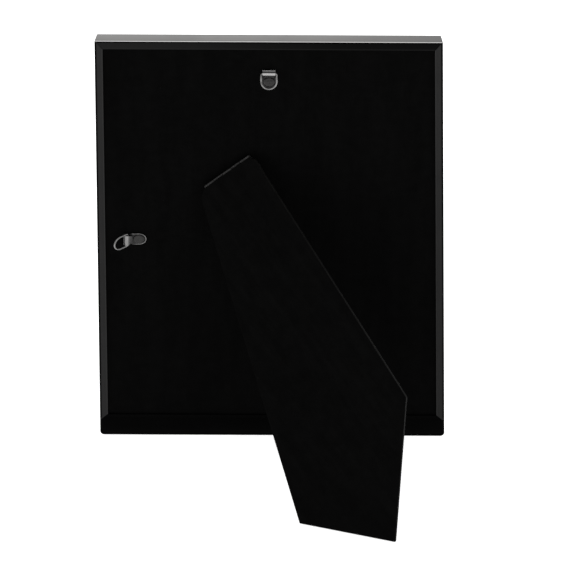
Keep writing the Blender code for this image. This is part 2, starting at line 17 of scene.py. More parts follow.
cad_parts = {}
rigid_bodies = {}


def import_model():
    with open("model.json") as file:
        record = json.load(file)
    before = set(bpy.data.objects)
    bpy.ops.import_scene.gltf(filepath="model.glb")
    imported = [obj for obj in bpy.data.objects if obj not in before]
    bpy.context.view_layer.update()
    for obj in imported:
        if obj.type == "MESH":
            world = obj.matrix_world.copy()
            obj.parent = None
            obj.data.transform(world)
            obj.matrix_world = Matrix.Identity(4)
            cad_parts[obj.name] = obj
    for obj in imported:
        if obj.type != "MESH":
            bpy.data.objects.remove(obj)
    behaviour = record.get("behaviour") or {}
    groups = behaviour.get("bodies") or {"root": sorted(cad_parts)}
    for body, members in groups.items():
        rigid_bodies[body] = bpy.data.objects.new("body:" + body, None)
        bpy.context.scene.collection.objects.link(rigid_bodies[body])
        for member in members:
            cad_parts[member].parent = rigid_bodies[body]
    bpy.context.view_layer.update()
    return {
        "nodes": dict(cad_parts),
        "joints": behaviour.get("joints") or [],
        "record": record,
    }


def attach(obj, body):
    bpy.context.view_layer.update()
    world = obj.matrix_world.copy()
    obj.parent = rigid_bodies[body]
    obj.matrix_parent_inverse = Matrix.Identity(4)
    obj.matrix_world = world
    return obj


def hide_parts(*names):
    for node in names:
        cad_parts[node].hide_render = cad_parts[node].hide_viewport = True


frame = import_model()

# %% [markdown]
# ## Coordinates of the leaning panel
#
# The panel leans back by eleven and a half degrees, so only its level edges run along an axis
# of the world. One matrix turns panel coordinates into world coordinates: x across, z up the
# panel from its bottom edge, y out of the back and zero on the back of the rims. The side
# ring's joint axis runs up the panel and the stand's mount lies on its bottom edge, so both can
# be read from the model's record instead of being measured again.

# %% Find the panel and the leg
joints = {joint["name"]: joint for joint in frame["joints"]}
mounts = {mount["name"]: mount for mount in frame["record"]["mounts"]}


def turned_frame(x_way, y_way, z_way, origin):
    """Matrix whose columns are three directions and a place."""
    matrix = Matrix((x_way, y_way, z_way)).transposed().to_4x4()
    matrix.translation = origin
    return matrix


ACROSS = Vector((1.0, 0.0, 0.0))
UP = Vector(joints["side_ring_hinge"]["axis"]).normalized()
OUT = UP.cross(ACROSS)
panel = turned_frame(ACROSS, OUT, UP, Vector(mounts["table_edge"]["pos_m"]))

hinge_along = Vector(joints["leg_hinge"]["axis"]).normalized()
leg_opening = -math.radians(joints["leg_hinge"]["range_deg"][0])
leg_out = Matrix.Rotation(leg_opening, 3, hinge_along) @ OUT
leg = turned_frame(hinge_along, leg_out, hinge_along.cross(leg_out),
                   Vector(joints["leg_hinge"]["pos_m"]))
lean = math.asin(UP.y)
print(f"panel leans {math.degrees(lean):.1f} degrees, leg opens {math.degrees(leg_opening):.0f}")

# %% [markdown]
# ## Sizes that the pieces share
#
# The dressed pieces have to lie exactly where the solids are, so they use the solids' own
# sizes. They are written here in metres, once, and each piece takes what it needs. Only the
# last three aren't the solids' own, but read from the photograph: the rail's rounded front
# edge, how far its outer faces lean inward toward the front, and how much broader the top rim
# is than the side rims.

# %% Sizes in metres
MILLIMETRE = 0.001
FRAME_WIDTH, FRAME_HEIGHT, FRAME_DEPTH = 0.2200, 0.3300, 0.0096
GAP = 0.0003
RAIL_FACE, RAIL_FACE_THICK, RAIL_WALL = 0.0080, 0.0013, 0.0015
RIM_WIDTH, RIM_THICK, LIP_THICK, LIP_DEPTH = 0.0051, 0.0009, 0.0006, 0.0030
BASE_RISE, BASE_ROUND = 0.0122, 0.0028
WINDOW_WIDTH, WINDOW_HEIGHT = 0.0920, 0.1420
COLUMN_PITCH, ROW_PITCH = 0.1012, 0.1540
MAT_FRONT, MAT_THICK = 0.0034, 0.0010
RAIL_ROUND, RAIL_TAPER, TOP_RIM_EXTRA = 0.0017, 0.0013, 0.0016
half_width = FRAME_WIDTH / 2
print("frame:", FRAME_WIDTH, "x", FRAME_HEIGHT, "x", FRAME_DEPTH)

# %% [markdown]
# ## The camera
#
# The photograph looks at the back from above through a long lens, and its uprights don't
# taper. A camera sixteen metres away gives nearly the same. It could be placed by eye,
# but three numbers are enough: how far it stands round to the side, how high it stands over
# the table, and how much it rolls. Then it is moved sideways and down until the panel's middle
# falls on its pixel. PIXEL is how many metres one pixel covers at that middle.

# %% Set up the camera
PICTURE = 580
PIXEL = 0.00063508
CAMERA_SIDE, CAMERA_HEIGHT = math.radians(0.994), math.radians(29.41)
CAMERA_ROLL = math.radians(-0.230)
CAMERA_DISTANCE = 16.0
CLIP_NEAR, CLIP_FAR = 1.0, 100.0
PANEL_MIDDLE_PIXEL = (270.49, 239.92)


def added(name, data):
    """New object in the scene, at the origin."""
    piece = bpy.data.objects.new(name, data)
    bpy.context.scene.collection.objects.link(piece)
    return piece


def place_camera():
    """Long-lens camera whose picture has the panel's middle on its pixel."""
    flat = math.cos(CAMERA_HEIGHT)
    toward = Vector((-math.sin(CAMERA_SIDE) * flat, math.cos(CAMERA_SIDE) * flat,
                     math.sin(CAMERA_HEIGHT)))
    level = Vector((0.0, 0.0, 1.0)).cross(toward).normalized()
    above = toward.cross(level)
    right = level * math.cos(CAMERA_ROLL) + above * math.sin(CAMERA_ROLL)
    top = above * math.cos(CAMERA_ROLL) - level * math.sin(CAMERA_ROLL)
    aim = panel @ Vector((0.0, 0.0, FRAME_HEIGHT / 2))
    aim += right * (PICTURE / 2 - PANEL_MIDDLE_PIXEL[0]) * PIXEL
    aim -= top * (PICTURE / 2 - PANEL_MIDDLE_PIXEL[1]) * PIXEL
    data = bpy.data.cameras.new("long_lens")
    data.lens = data.sensor_width * CAMERA_DISTANCE / (PICTURE * PIXEL)
    data.clip_start, data.clip_end = CLIP_NEAR, CLIP_FAR
    camera = added("long_lens", data)
    camera.matrix_world = turned_frame(right, top, toward, aim + toward * CAMERA_DISTANCE)
    bpy.context.scene.camera = camera
    return camera


camera = place_camera()
print(f"camera at {tuple(round(v, 2) for v in camera.location)}, lens {camera.data.lens:.0f} mm")

# %% [markdown]
# ## The studio
#
# The photograph has a plain white ground with no shadow at all, like a lit table of white
# acrylic. A shadow could be hidden by leaving the floor out, but then the object would get no
# light from below. So the floor is pale and also glows a little, under an even white sky. One
# weak soft box stands where the top rail mirrors it toward the camera, and shades the rail
# from end to end.

# %% Build the floor and the lights
FLOOR_SIDE = 30.0
FLOOR_DROP = 0.0002
FLOOR_GLOW = 0.72
SKY_STRENGTH = 1.0
BOX_SIZE, BOX_REACH, BOX_POWER = 0.34, 0.75, 0.16
BOX_SHIFT = 0.05
WHITE = (1.0, 1.0, 1.0, 1.0)


def sky(strength):
    world = bpy.data.worlds.new("studio_sky")
    world.use_nodes = True
    background = world.node_tree.nodes["Background"]
    background.inputs["Color"].default_value = WHITE
    background.inputs["Strength"].default_value = strength
    bpy.context.scene.world = world


def soft_box(name, place, target, size, power):
    data = bpy.data.lights.new(name, "AREA")
    data.shape, data.size, data.energy = "SQUARE", size, power
    lamp = added(name, data)
    lamp.location = place
    lamp.rotation_euler = (target - place).to_track_quat("-Z", "Y").to_euler()


def flat_floor():
    mesh = bpy.data.meshes.new("studio_floor")
    reach = FLOOR_SIDE / 2
    corners = [(-reach, -reach), (reach, -reach), (reach, reach), (-reach, reach)]
    mesh.from_pydata([(x, y, -FLOOR_DROP) for x, y in corners], [], [(0, 1, 2, 3)])
    floor = added("studio_floor", mesh)
    return floor


sky(SKY_STRENGTH)
floor = flat_floor()
top_middle = panel @ Vector((0.0, -FRAME_DEPTH / 2, FRAME_HEIGHT))
from_camera = (top_middle - camera.location).normalized()
top_slope = (UP * (FRAME_DEPTH - RAIL_ROUND) - OUT * RAIL_TAPER).normalized()
mirrored = from_camera - 2.0 * from_camera.dot(top_slope) * top_slope
box_place = top_middle + mirrored * BOX_REACH + ACROSS * BOX_SHIFT
soft_box("soft_box", box_place, top_middle, BOX_SIZE, BOX_POWER)
bpy.context.scene.view_settings.view_transform = "Standard"
print("soft box at", tuple(round(v, 2) for v in box_place))

# %% [markdown]
# ## Writing node trees as sums
#
# A finish such as brushed metal is a sum of patterns. Adding every Math node by hand hides
# that sum, so a small class wraps a number socket and Python's own signs add the nodes. It
# needs a bench, which is made next, to put them on.

# %% Numbers that can be summed
class Value:
    """A number socket that Python sums can use."""

    def __init__(self, bench, socket):
        self.bench = bench
        self.socket = socket

    def maths(self, operation, *numbers):
        sockets = dict(enumerate(numbers))
        return self.bench.value("ShaderNodeMath", 0, {"operation": operation}, sockets)

    def __add__(self, other):
        return self.maths("ADD", self, other)

    def __sub__(self, other):
        return self.maths("SUBTRACT", self, other)

    def __rsub__(self, other):
        return self.maths("SUBTRACT", other, self)

    def __mul__(self, other):
        return self.maths("MULTIPLY", self, other)

    def __truediv__(self, other):
        return self.maths("DIVIDE", self, other)

    def __mod__(self, other):
        return self.maths("FLOORED_MODULO", self, other)

    __radd__ = __add__
    __rmul__ = __mul__

    def floor(self):
        return self.maths("FLOOR", self)

    def sine(self):
        return self.maths("SINE", self)

    def cosine(self):
        return self.maths("COSINE", self)

    def least(self, other):
        return self.maths("MINIMUM", self, other)

    def most(self, other):
        return self.maths("MAXIMUM", self, other)

    def power(self, exponent):
        return self.maths("POWER", self, exponent)

    def step(self, low, high):
        """Zero below low, one above high, a smooth rise between."""
        return self.bench.value("ShaderNodeMapRange", 0, {"interpolation_type": "SMOOTHSTEP"},
                                {"Value": self, "From Min": low, "From Max": high})


print("sums ready")

# %% [markdown]
# ## One way to add a node
#
# Every other node comes from one method: its type, its settings, then what goes into its
# sockets, by name or by number. Colours and directions stay plain sockets, because a Math node
# would turn them grey.

# %% A bench that adds nodes
class Bench:
    """A node tree with one way to add a node."""

    def __init__(self, tree):
        self.tree = tree

    def node(self, kind, settings=None, sockets=None):
        made = self.tree.nodes.new(kind)
        for name, value in (settings or {}).items():
            setattr(made, name, value)
        for name, value in (sockets or {}).items():
            self.fill(made.inputs[name], value)
        return made

    def fill(self, socket, value):
        if isinstance(value, Value):
            value = value.socket
        if isinstance(value, bpy.types.NodeSocket):
            self.tree.links.new(value, socket)
        else:
            socket.default_value = value

    def socket(self, kind, output, settings=None, sockets=None):
        return self.node(kind, settings, sockets).outputs[output]

    def value(self, kind, output, settings=None, sockets=None):
        return Value(self, self.socket(kind, output, settings, sockets))

    def parts(self, vector):
        """A vector's three numbers."""
        split = self.node("ShaderNodeSeparateXYZ", None, {"Vector": vector})
        return [Value(self, out) for out in split.outputs]

    def joined(self, *numbers):
        """A vector from two or three numbers."""
        return self.socket("ShaderNodeCombineXYZ", 0, None, dict(enumerate(numbers)))


print("bench ready")

# %% [markdown]
# ## What every finish needs
#
# A finish is a material whose shader is fed by patterns. Patterns have to lie still on the
# object, so they read Object coordinates, and a Mapping node turns those into panel or leg
# coordinates: then a brush line can run along a rail although the rail leans. Only colour,
# roughness, metal, alpha and bump vary over a surface. Everything else is one number, set on
# the shader's own socket. A noise's scale is roughly how many of its blotches fit in a metre,
# and a number before a pattern in a sum is that pattern's share.

# %% Finishes and the patterns they share
class Finish(Bench):
    """A material, its shader, and coordinates laid along one board."""

    def __init__(self, name, board=panel):
        self.material = bpy.data.materials.new(name)
        self.material.use_nodes = True
        super().__init__(self.material.node_tree)
        self.shader = self.tree.nodes["Principled BSDF"]
        place = self.socket("ShaderNodeTexCoord", "Object")
        self.at = self.socket("ShaderNodeMapping", "Vector", {"vector_type": "TEXTURE"},
                              {"Vector": place, "Location": board.translation,
                               "Rotation": board.to_euler()})

    def depth(self):
        """Zero on the back of the rims, falling toward the front."""
        return self.parts(self.at)[1]

    def noted(self, label):
        """A number that the mesh carries for each of its points."""
        return self.value("ShaderNodeAttribute", "Fac", {"attribute_name": label})

    def scaled(self, scale):
        """Coordinates stretched by a factor for each direction."""
        return self.socket("ShaderNodeVectorMath", 0, {"operation": "MULTIPLY"},
                           {0: self.at, 1: scale})

    def leftward(self):
        """Zero at the end of the panel on the photograph's right, one at its left end."""
        return self.parts(self.at)[0] / FRAME_WIDTH + 0.5

    def noise(self, scale, detail, roughness=0.5, at=None):
        return self.value("ShaderNodeTexNoise", 0, None,
                          {"Vector": at or self.at, "Scale": scale, "Detail": detail,
                           "Roughness": roughness})

    def blend(self, factor, first, second):
        """The first colour at factor zero, the second at one; 6 and 7 are Mix's colour inputs."""
        sockets = {0: factor}
        for number, colour in ((6, first), (7, second)):
            sockets[number] = (*colour, 1.0) if isinstance(colour, tuple) else colour
        return self.socket("ShaderNodeMix", 2, {"data_type": "RGBA"}, sockets)

    def bump(self, height, distance, strength):
        return self.socket("ShaderNodeBump", 0, None,
                           {"Strength": strength, "Distance": distance, "Height": height})

    def cover(self, sockets):
        """Fill the shader's sockets and hand over the material."""
        for name, value in sockets.items():
            self.fill(self.shader.inputs[name], value)
        return self.material


def grey(level, warmth=0.0):
    """A neutral colour; warmth moves it a little from blue to red."""
    return (level * (1.0 + warmth), level, level * (1.0 - warmth))


print("finish tools ready")

# %% [markdown]
# ## Satin metal rails
#
# The narrow front moulding is thin metal with a satin brush along its length. Seen from
# above, its top face is a mid grey; painted shade darkens its rounded front, and a painted
# reflection darkens it toward the right. The top rail's back edge is painted bright, a painted
# highlight where its rounding catches light, and on the sides and the base that edge is painted
# near black, a painted shadow line along the gap outside the rim. The groove's floor is painted
# near black too, as painted shade in that recess. The brush could be a bump alone, but on
# satin metal it shows more as fine streaks of roughness and tone, so one long stretched noise
# drives all three. Upright rails need the same noise stretched upward. Where the front, the back
# edge and the groove change their tone is told by depth, which is zero on the back of the rims
# and falls toward the front; each band is written as where its change starts and ends.

# %% Finish of the rails
ALONG_ACROSS = (9.0, 2400.0, 2400.0)
ALONG_UP = (2400.0, 2400.0, 9.0)
ROUNDED_BAND = (0.0005 - FRAME_DEPTH, 0.0020 - FRAME_DEPTH)
BACK_EDGE_BAND = (-0.0008, -0.0004)
GROOVE_BAND = (-0.0020, -0.0014)
# The shaded satin grey is painted shade for the rounded front and the right end; the groove grey is
# painted shade in the groove.
SATIN_DARK, SATIN_LIGHT, SATIN_SHADED = grey(0.205, 0.01), grey(0.255, 0.015), grey(0.10, 0.01)
GROOVE_SHADE = grey(0.002)


def satin_rail(name, grain, edge, metal=1.0, painted_fade=0.0):
    finish = Finish(name)
    brush = finish.noise(1.0, 4.0, 0.65, finish.scaled(grain))
    cloud = finish.noise(28.0, 2.0)
    smudge = finish.noise(70.0, 5.0, 0.6).step(0.55, 0.75)
    tone = brush * 0.55 + cloud * 0.45
    depth = finish.depth()
    satin = finish.blend(tone.step(0.25, 0.75), SATIN_DARK, SATIN_LIGHT)
    # Painted reflection darkens the top face toward the right end, and painted shade darkens the
    # rounded front.
    right = 1.0 - finish.leftward().step(-0.1, 0.5)
    front = 1.0 - depth.step(*ROUNDED_BAND)
    shaded = finish.blend((right * painted_fade).most(front * 0.85), satin, SATIN_SHADED)
    # The back edge band is painted: a highlight on the top rail, a near-black shadow line on the
    # sides and the base, where the metal is switched off too.
    painted_edge_band = depth.step(*BACK_EDGE_BAND)
    colour = finish.blend(painted_edge_band * (0.85 + brush * 0.3), shaded, grey(edge, 0.01))
    # Painted shade: the groove's floor is near black.
    groove = finish.noted("inner_edge") * depth.step(*GROOVE_BAND)
    colour = finish.blend(groove, colour, GROOVE_SHADE)
    rough = 0.33 + brush * 0.12 + smudge * 0.07
    return finish.cover({"Base Color": colour, "Roughness": rough,
                         "Metallic": 1.0 - painted_edge_band * (1.0 - metal), "Specular IOR Level": 0.1,
                         "Normal": finish.bump(brush, 0.000012, 0.5)})


# The top rail's back edge is a painted highlight, the other rails' a near-black painted shadow
# line.
rail_top_finish = satin_rail("rail_top", ALONG_ACROSS, edge=0.58, painted_fade=0.5)
rail_side_finish = satin_rail("rail_upright", ALONG_UP, edge=0.004, metal=0.0)
rail_base_finish = satin_rail("rail_base", ALONG_ACROSS, edge=0.004, metal=0.0)
print("rails:", rail_top_finish.name, rail_side_finish.name, rail_base_finish.name)

# %% [markdown]
# ## Dark rims and the black base
#
# The rims on the back are flat bars in a charcoal lacquer with a faint grain, and a painted
# highlight makes the inner edge a trace lighter, where its rounding catches light. The top rim
# fades from grey to near black toward the right: a painted reflection that makes its lacquer
# lighter along x, which runs to the left as the camera sees it. The top rim is also a darker copy
# of the side rims' lacquer, painted shade. The side of each rim inside the groove is painted near
# black, painted shade in the gap. The base band is the same lacquer in plain black. All have a
# low specular level, because a white floor would otherwise make them far too light.

# %% Finish of the rims and of the base
BACK_FACE_BAND = (-0.00030, -0.00004)
SEAM_SHADE = grey(0.001)


def lacquer(name, grain, colour, painted_fade=0.0, gloss=0.07):
    finish = Finish(name)
    streaks = finish.noise(1.0, 4.0, 0.6, finish.scaled(grain))
    cloud = finish.noise(45.0, 3.0)
    dust = finish.noise(900.0, 2.0).step(0.66, 0.80)
    # Painted reflection: by its share, the lacquer gets lighter toward the left end.
    left = finish.leftward().step(0.2, 1.05)
    light = streaks * 0.35 + cloud * 0.35 + dust * 0.15
    tone = light * (1.0 - painted_fade) + left * painted_fade
    even = finish.blend(tone, grey(colour * 0.25, 0.02), grey(colour * 1.75, 0.01))
    # Painted highlight: the inner edge is a trace lighter, where its rounding catches light.
    rubbed = finish.noted("inner_edge").step(0.80, 1.0)
    shade = finish.blend(rubbed * 0.35, even, grey(colour * 2.4, 0.01))
    # Painted shade: the rim's side inside the groove is near black.
    shade = finish.blend(finish.depth().step(*BACK_FACE_BAND), SEAM_SHADE, shade)
    return finish.cover({"Base Color": shade, "Roughness": 0.36 + streaks * 0.16 + dust * 0.08,
                         "Specular IOR Level": gloss,
                         "Normal": finish.bump(streaks + dust, 0.000010, 0.4)})


# The top rim is a darker copy of the side rims' lacquer, painted shade, and fades toward the right
# by a painted reflection.
rim_top_finish = lacquer("rim_across", ALONG_ACROSS, 0.0062, painted_fade=0.9, gloss=0.015)
rim_side_finish = lacquer("rim_upright", ALONG_UP, 0.0125)
base_finish = lacquer("base_black", ALONG_ACROSS, 0.0011, gloss=0.008)
print("rims:", rim_top_finish.name, rim_side_finish.name, base_finish.name)

# %% [markdown]
# ## Black velour
#
# The back board and the leg are covered in black velour paper. Its pile is under half a
# millimetre, so single hairs can't be seen; what shows is a very even black with a little
# mottling, a nap that was stroked downward, and now and then a fleck of lint. Real hairs
# would be thousands of pieces for nothing, so noises at three sizes make the pile.

# %% Finish of the velour and of the leg's cut edge
def velour(name, board, dark, light, nap):
    finish = Finish(name, board)
    pile = finish.noise(2300.0, 2.0, 0.7)
    mottle = finish.noise(150.0, 4.0, 0.6)
    stroked = finish.noise(1.0, 3.0, 0.6, finish.scaled(nap))
    lint = finish.value("ShaderNodeTexVoronoi", "Distance", None,
                        {"Vector": finish.at, "Scale": 55.0, "Randomness": 1.0})
    fleck = 1.0 - lint.step(0.008, 0.016)
    tone = pile * 0.30 + mottle.step(0.3, 0.7) * 0.35 + stroked.step(0.3, 0.7) * 0.35
    cloth = finish.blend(tone, grey(dark, 0.01), grey(light, 0.01))
    colour = finish.blend(fleck * 0.4, cloth, grey(0.02, 0.02))
    return finish.cover({"Base Color": colour, "Roughness": 0.92, "Specular IOR Level": 0.01,
                         "Normal": finish.bump(pile + mottle * 0.4, 0.00012, 0.7)})


def cut_edge(name):
    finish = Finish(name, leg)
    fibres = finish.noise(1.0, 4.0, 0.7, finish.scaled((260.0, 3000.0, 260.0)))
    chips = finish.noise(520.0, 3.0, 0.6)
    colour = finish.blend((fibres * 0.6 + chips * 0.4).step(0.3, 0.7), grey(0.0015, 0.03),
                          grey(0.0055, 0.04))
    return finish.cover({"Base Color": colour, "Roughness": 0.75, "Specular IOR Level": 0.05,
                         "Normal": finish.bump(fibres + chips, 0.00010, 0.6)})


board_velour = velour("board_velour", panel, 0.0011, 0.0022, nap=(110.0, 400.0, 16.0))
leg_velour = velour("leg_velour", leg, 0.0013, 0.0026, nap=(150.0, 400.0, 12.0))
leg_edge = cut_edge("leg_cut_edge")
print("velour:", board_velour.name, leg_velour.name, "with edge", leg_edge.name)

# %% [markdown]
# ## Steel, zinc and rivets
#
# The hinge is blackened steel and shows only as a thin line over the leg. The wire of the
# rings is zinc plated: bright and cloudy. The straps are blackened too. Their loops and folds
# carry a painted highlight, stronger on the top strap than on the side strap, and on top of the
# loop the metal is switched off, so the painted highlight there shows as flat grey; each point of
# a strap carries how much painted highlight it has and how matt it is. A darker copy of the zinc
# is painted shade on the top strap's raised rim. The rivet heads are dull and were turned on a
# lathe, so their marks run in circles. The circle can't come from Object coordinates, because
# every rivet has its own middle; each rivet carries its own radius as an attribute instead.

# %% Finish of the metal parts
LATHE_MARKS = 16000.0


def plated(name, dark, light, rough, scale=420.0, rubbed=None):
    finish = Finish(name)
    spangle = finish.value("ShaderNodeTexVoronoi", "Distance", {"feature": "SMOOTH_F1"},
                           {"Vector": finish.at, "Scale": scale * 2.0})
    cloud = finish.noise(scale, 4.0, 0.6)
    scratches = finish.noise(1.0, 3.0, 0.7, finish.scaled((scale, scale * 9.0, scale * 9.0)))
    tone = cloud * 0.55 + spangle * 0.25 + scratches * 0.20
    colour = finish.blend(tone.step(0.25, 0.70), grey(dark, 0.015), grey(light, 0.01))
    metal = 1.0
    # Painted highlight: a point's highlight amount lightens the colour toward a light grey, and its
    # matt amount switches the metal off.
    if rubbed:
        highlight_share = finish.noted("rubbed") * (0.75 + tone * 0.5)
        colour = finish.blend(highlight_share, colour, grey(rubbed, 0.01))
        metal = 1.0 - finish.noted("matt")
    return finish.cover({"Base Color": colour, "Metallic": metal,
                         "Roughness": rough + cloud * 0.12 + scratches * 0.06,
                         "Normal": finish.bump(scratches + cloud, 0.00001, 0.5)})


def turned_metal(name, dark, light, rough):
    finish = Finish(name)
    rings = (finish.noted("turned_radius") * LATHE_MARKS).sine() * 0.5 + 0.5
    cloud = finish.noise(700.0, 4.0, 0.6)
    tone = cloud * 0.6 + rings * 0.4
    colour = finish.blend(tone, grey(dark, 0.02), grey(light, 0.015))
    return finish.cover({"Base Color": colour, "Metallic": 1.0,
                         "Roughness": rough + rings * 0.06 + cloud * 0.10,
                         "Normal": finish.bump(rings + cloud * 0.5, 0.000008, 0.5)})


zinc = plated("zinc_plate", 0.06, 0.28, rough=0.24, scale=170.0)
# A darker copy of the zinc: painted shade, for the top strap's rim under its ring.
dull_zinc = plated("dull_zinc", 0.025, 0.060, rough=0.28)
# The straps' painted highlight is a light grey.
strap_zinc = plated("rubbed_strap", 0.012, 0.028, rough=0.30, rubbed=0.33)
wire_zinc = plated("zinc_wire", 0.06, 0.28, rough=0.22, scale=170.0)
hinge_steel = plated("hinge_steel", 0.018, 0.045, rough=0.34)
key_steel = plated("key_steel", 0.22, 0.34, rough=0.36)
rivet_metal = turned_metal("rivet_metal", 0.018, 0.044, rough=0.34)
print("metal:", zinc.name, dull_zinc.name, strap_zinc.name, wire_zinc.name, hinge_steel.name,
      key_steel.name, rivet_metal.name)

# %% [markdown]
# ## Mat, card and glass
#
# The front isn't in the photograph, so it is kept plain. The mat is off-white card with a
# fine felt, its windows are cut at forty-five degrees and show the white core. The glass is
# thin, so it hardly bends light: it is nearly see-through, and clearer to look straight
# through than along. A slanted look raises its alpha, which is why a Layer Weight feeds it.

# %% Finish of the front
GLASS_TINT = (0.60, 0.68, 0.66, 1.0)


def paper(name, dark, light, fibre=900.0, warmth=0.02):
    finish = Finish(name)
    felt = finish.noise(fibre, 4.0, 0.65)
    cloud = finish.noise(38.0, 2.0)
    colour = finish.blend(felt * 0.6 + cloud * 0.4, grey(dark, warmth), grey(light, warmth))
    return finish.cover({"Base Color": colour, "Roughness": 0.80 + felt * 0.12,
                         "Specular IOR Level": 0.25,
                         "Normal": finish.bump(felt, 0.00008, 0.6)})


def window_glass(name):
    finish = Finish(name)
    facing = finish.value("ShaderNodeLayerWeight", "Facing", None, {"Blend": 0.35})
    film = finish.noise(55.0, 3.0)
    clear = 0.03 + facing.power(2.0) * 0.4 + film * 0.02
    return finish.cover({"Base Color": GLASS_TINT, "Alpha": clear,
                         "Roughness": 0.02 + film * 0.02})


mat_card = paper("mat_card", 0.74, 0.83)
mat_core = paper("mat_core", 0.86, 0.92, fibre=1500.0, warmth=0.005)
filler_card = paper("filler_card", 0.30, 0.40, fibre=500.0, warmth=0.06)
clear_glass = window_glass("clear_glass")
print("front:", mat_card.name, mat_core.name, filler_card.name, clear_glass.name)

# %% [markdown]
# ## Four plain landscapes
#
# The prints hold nothing that anyone made: a calm sea, hills in mist, dunes and a field under
# clouds, each drawn from gradients and noise. Every print has coordinates that run from zero
# to one over its sheet, and its picture is a short sum of bands.

# %% Coordinates over one print
PRINT_WIDTH, PRINT_HEIGHT = 0.100, 0.150
RIDGE_BLUR = 0.004


class Picture(Finish):
    """A finish with u and v running over one print."""

    def __init__(self, name, column, row):
        super().__init__(name)
        x, _, z = self.parts(self.at)
        self.u = (x - column * COLUMN_PITCH / 2) / PRINT_WIDTH + 0.5
        self.v = (z - FRAME_HEIGHT / 2 - row * ROW_PITCH / 2) / PRINT_HEIGHT + 0.5

    def spread(self, across, up):
        """Sheet coordinates for a noise: u and v, each times its factor."""
        return self.joined(self.u * across, self.v * up)

    def ridge(self, height, rough, scale, offset):
        """One where the sheet lies under a wavy line."""
        wave = self.noise(1.0, 4.0, 0.5, self.joined(self.u * scale, offset))
        line = height + (wave - 0.5) * rough
        return 1.0 - (self.v - line).step(-RIDGE_BLUR, RIDGE_BLUR)

    def printed(self, colour):
        return self.cover({"Base Color": colour, "Roughness": 0.24,
                           "Coat Weight": 0.3, "Coat Roughness": 0.08})


print("one print:", PRINT_WIDTH, "x", PRINT_HEIGHT)

# %% [markdown]
# The sea needs one level line and a noise that is stretched flat for its waves. The hills are
# four ridges, each darker than the one behind it. HILLS holds a ridge's height, roughness,
# waves across the sheet, the place where its noise is read, and its colour.

# %% Calm sea and misty hills
HILLS = ((0.58, 0.30, 3.0, 1.0, (0.46, 0.56, 0.58)),
         (0.44, 0.26, 4.0, 5.0, (0.24, 0.35, 0.36)),
         (0.28, 0.20, 5.0, 9.0, (0.10, 0.18, 0.17)),
         (0.13, 0.14, 7.0, 13.0, (0.03, 0.06, 0.05)))


def calm_sea(column, row):
    picture = Picture("print_sea", column, row)
    sky_tone = picture.blend(picture.v.step(0.42, 1.0), (0.86, 0.62, 0.45), (0.20, 0.34, 0.52))
    waves = picture.noise(1.0, 3.0, 0.5, picture.spread(5.0, 60.0))
    water = picture.blend(waves.step(0.35, 0.65), (0.05, 0.13, 0.20), (0.34, 0.38, 0.40))
    return picture.printed(picture.blend(picture.v.step(0.415, 0.42), water, sky_tone))


def misty_hills(column, row):
    picture = Picture("print_hills", column, row)
    colour = picture.blend(picture.v.step(0.4, 1.0), (0.78, 0.80, 0.78), (0.48, 0.60, 0.70))
    for height, rough, scale, offset, tone in HILLS:
        colour = picture.blend(picture.ridge(height, rough, scale, offset), colour, tone)
    return picture.printed(colour)


prints = {"print_upper_left": calm_sea(-1, 1), "print_upper_right": misty_hills(1, 1)}
print("upper prints:", ", ".join(material.name for material in prints.values()))

# %% [markdown]
# The dunes are two ridges, and the near one carries ripples: a sine of the height, bent by a
# noise. The field lies low under a noise that is stretched flat into clouds.

# %% Dunes and a clouded field
def dunes(column, row):
    picture = Picture("print_dunes", column, row)
    colour = picture.blend(picture.v.step(0.5, 1.0), (0.80, 0.76, 0.66), (0.30, 0.48, 0.66))
    bend = picture.noise(1.0, 2.0, 0.5, picture.spread(3.0, 16.0))
    ripples = (picture.v * 150.0 + bend * 26.0).sine() * 0.5 + 0.5
    far = picture.ridge(0.56, 0.16, 2.0, 21.0)
    near = picture.ridge(0.36, 0.30, 1.6, 27.0)
    colour = picture.blend(far, colour, (0.62, 0.42, 0.24))
    sand = picture.blend(ripples, (0.40, 0.23, 0.11), (0.58, 0.37, 0.19))
    return picture.printed(picture.blend(near, colour, sand))


def clouded_field(column, row):
    picture = Picture("print_field", column, row)
    clouds = picture.noise(1.0, 6.0, 0.6, picture.spread(2.2, 5.0)).step(0.45, 0.70)
    air = picture.blend(clouds, (0.22, 0.42, 0.68), (0.86, 0.87, 0.88))
    grass = picture.noise(1.0, 4.0, 0.6, picture.scaled((900.0, 900.0, 120.0)))
    field = picture.blend(grass.step(0.3, 0.7), (0.08, 0.16, 0.04), (0.34, 0.38, 0.10))
    return picture.printed(picture.blend(picture.ridge(0.34, 0.06, 2.0, 33.0), air, field))


prints["print_lower_left"] = dunes(-1, -1)
prints["print_lower_right"] = clouded_field(1, -1)
print("all prints:", ", ".join(material.name for material in prints.values()))

# %% [markdown]
# ## Dress the solids that stay
#
# Flat sheets, boards and inner parts already have their right shape. They keep their solid
# and only change its material slot. So do the four hinge rivets: they lie under the leg, where
# only a low view finds them.

# %% Give the kept solids their finishes
def dress(material, *names):
    for name in names:
        for slot in frame["nodes"][name].material_slots:
            slot.material = material
    print(material.name, "on", ", ".join(names))


dress(clear_glass, "glass")
dress(mat_card, "mat_board")
dress(filler_card, "filler_card")
dress(board_velour, "back_board")
dress(key_steel, "corner_key_top_left", "corner_key_top_right", "corner_key_base_left",
      "corner_key_base_right")
dress(hinge_steel, "hinge_leaf_board", "hinge_leaf_leg", "hinge_pin")
dress(rivet_metal, "board_leaf_rivet_1", "board_leaf_rivet_2", "leg_leaf_rivet_1",
      "leg_leaf_rivet_2")
for node, picture in prints.items():
    dress(picture, node)

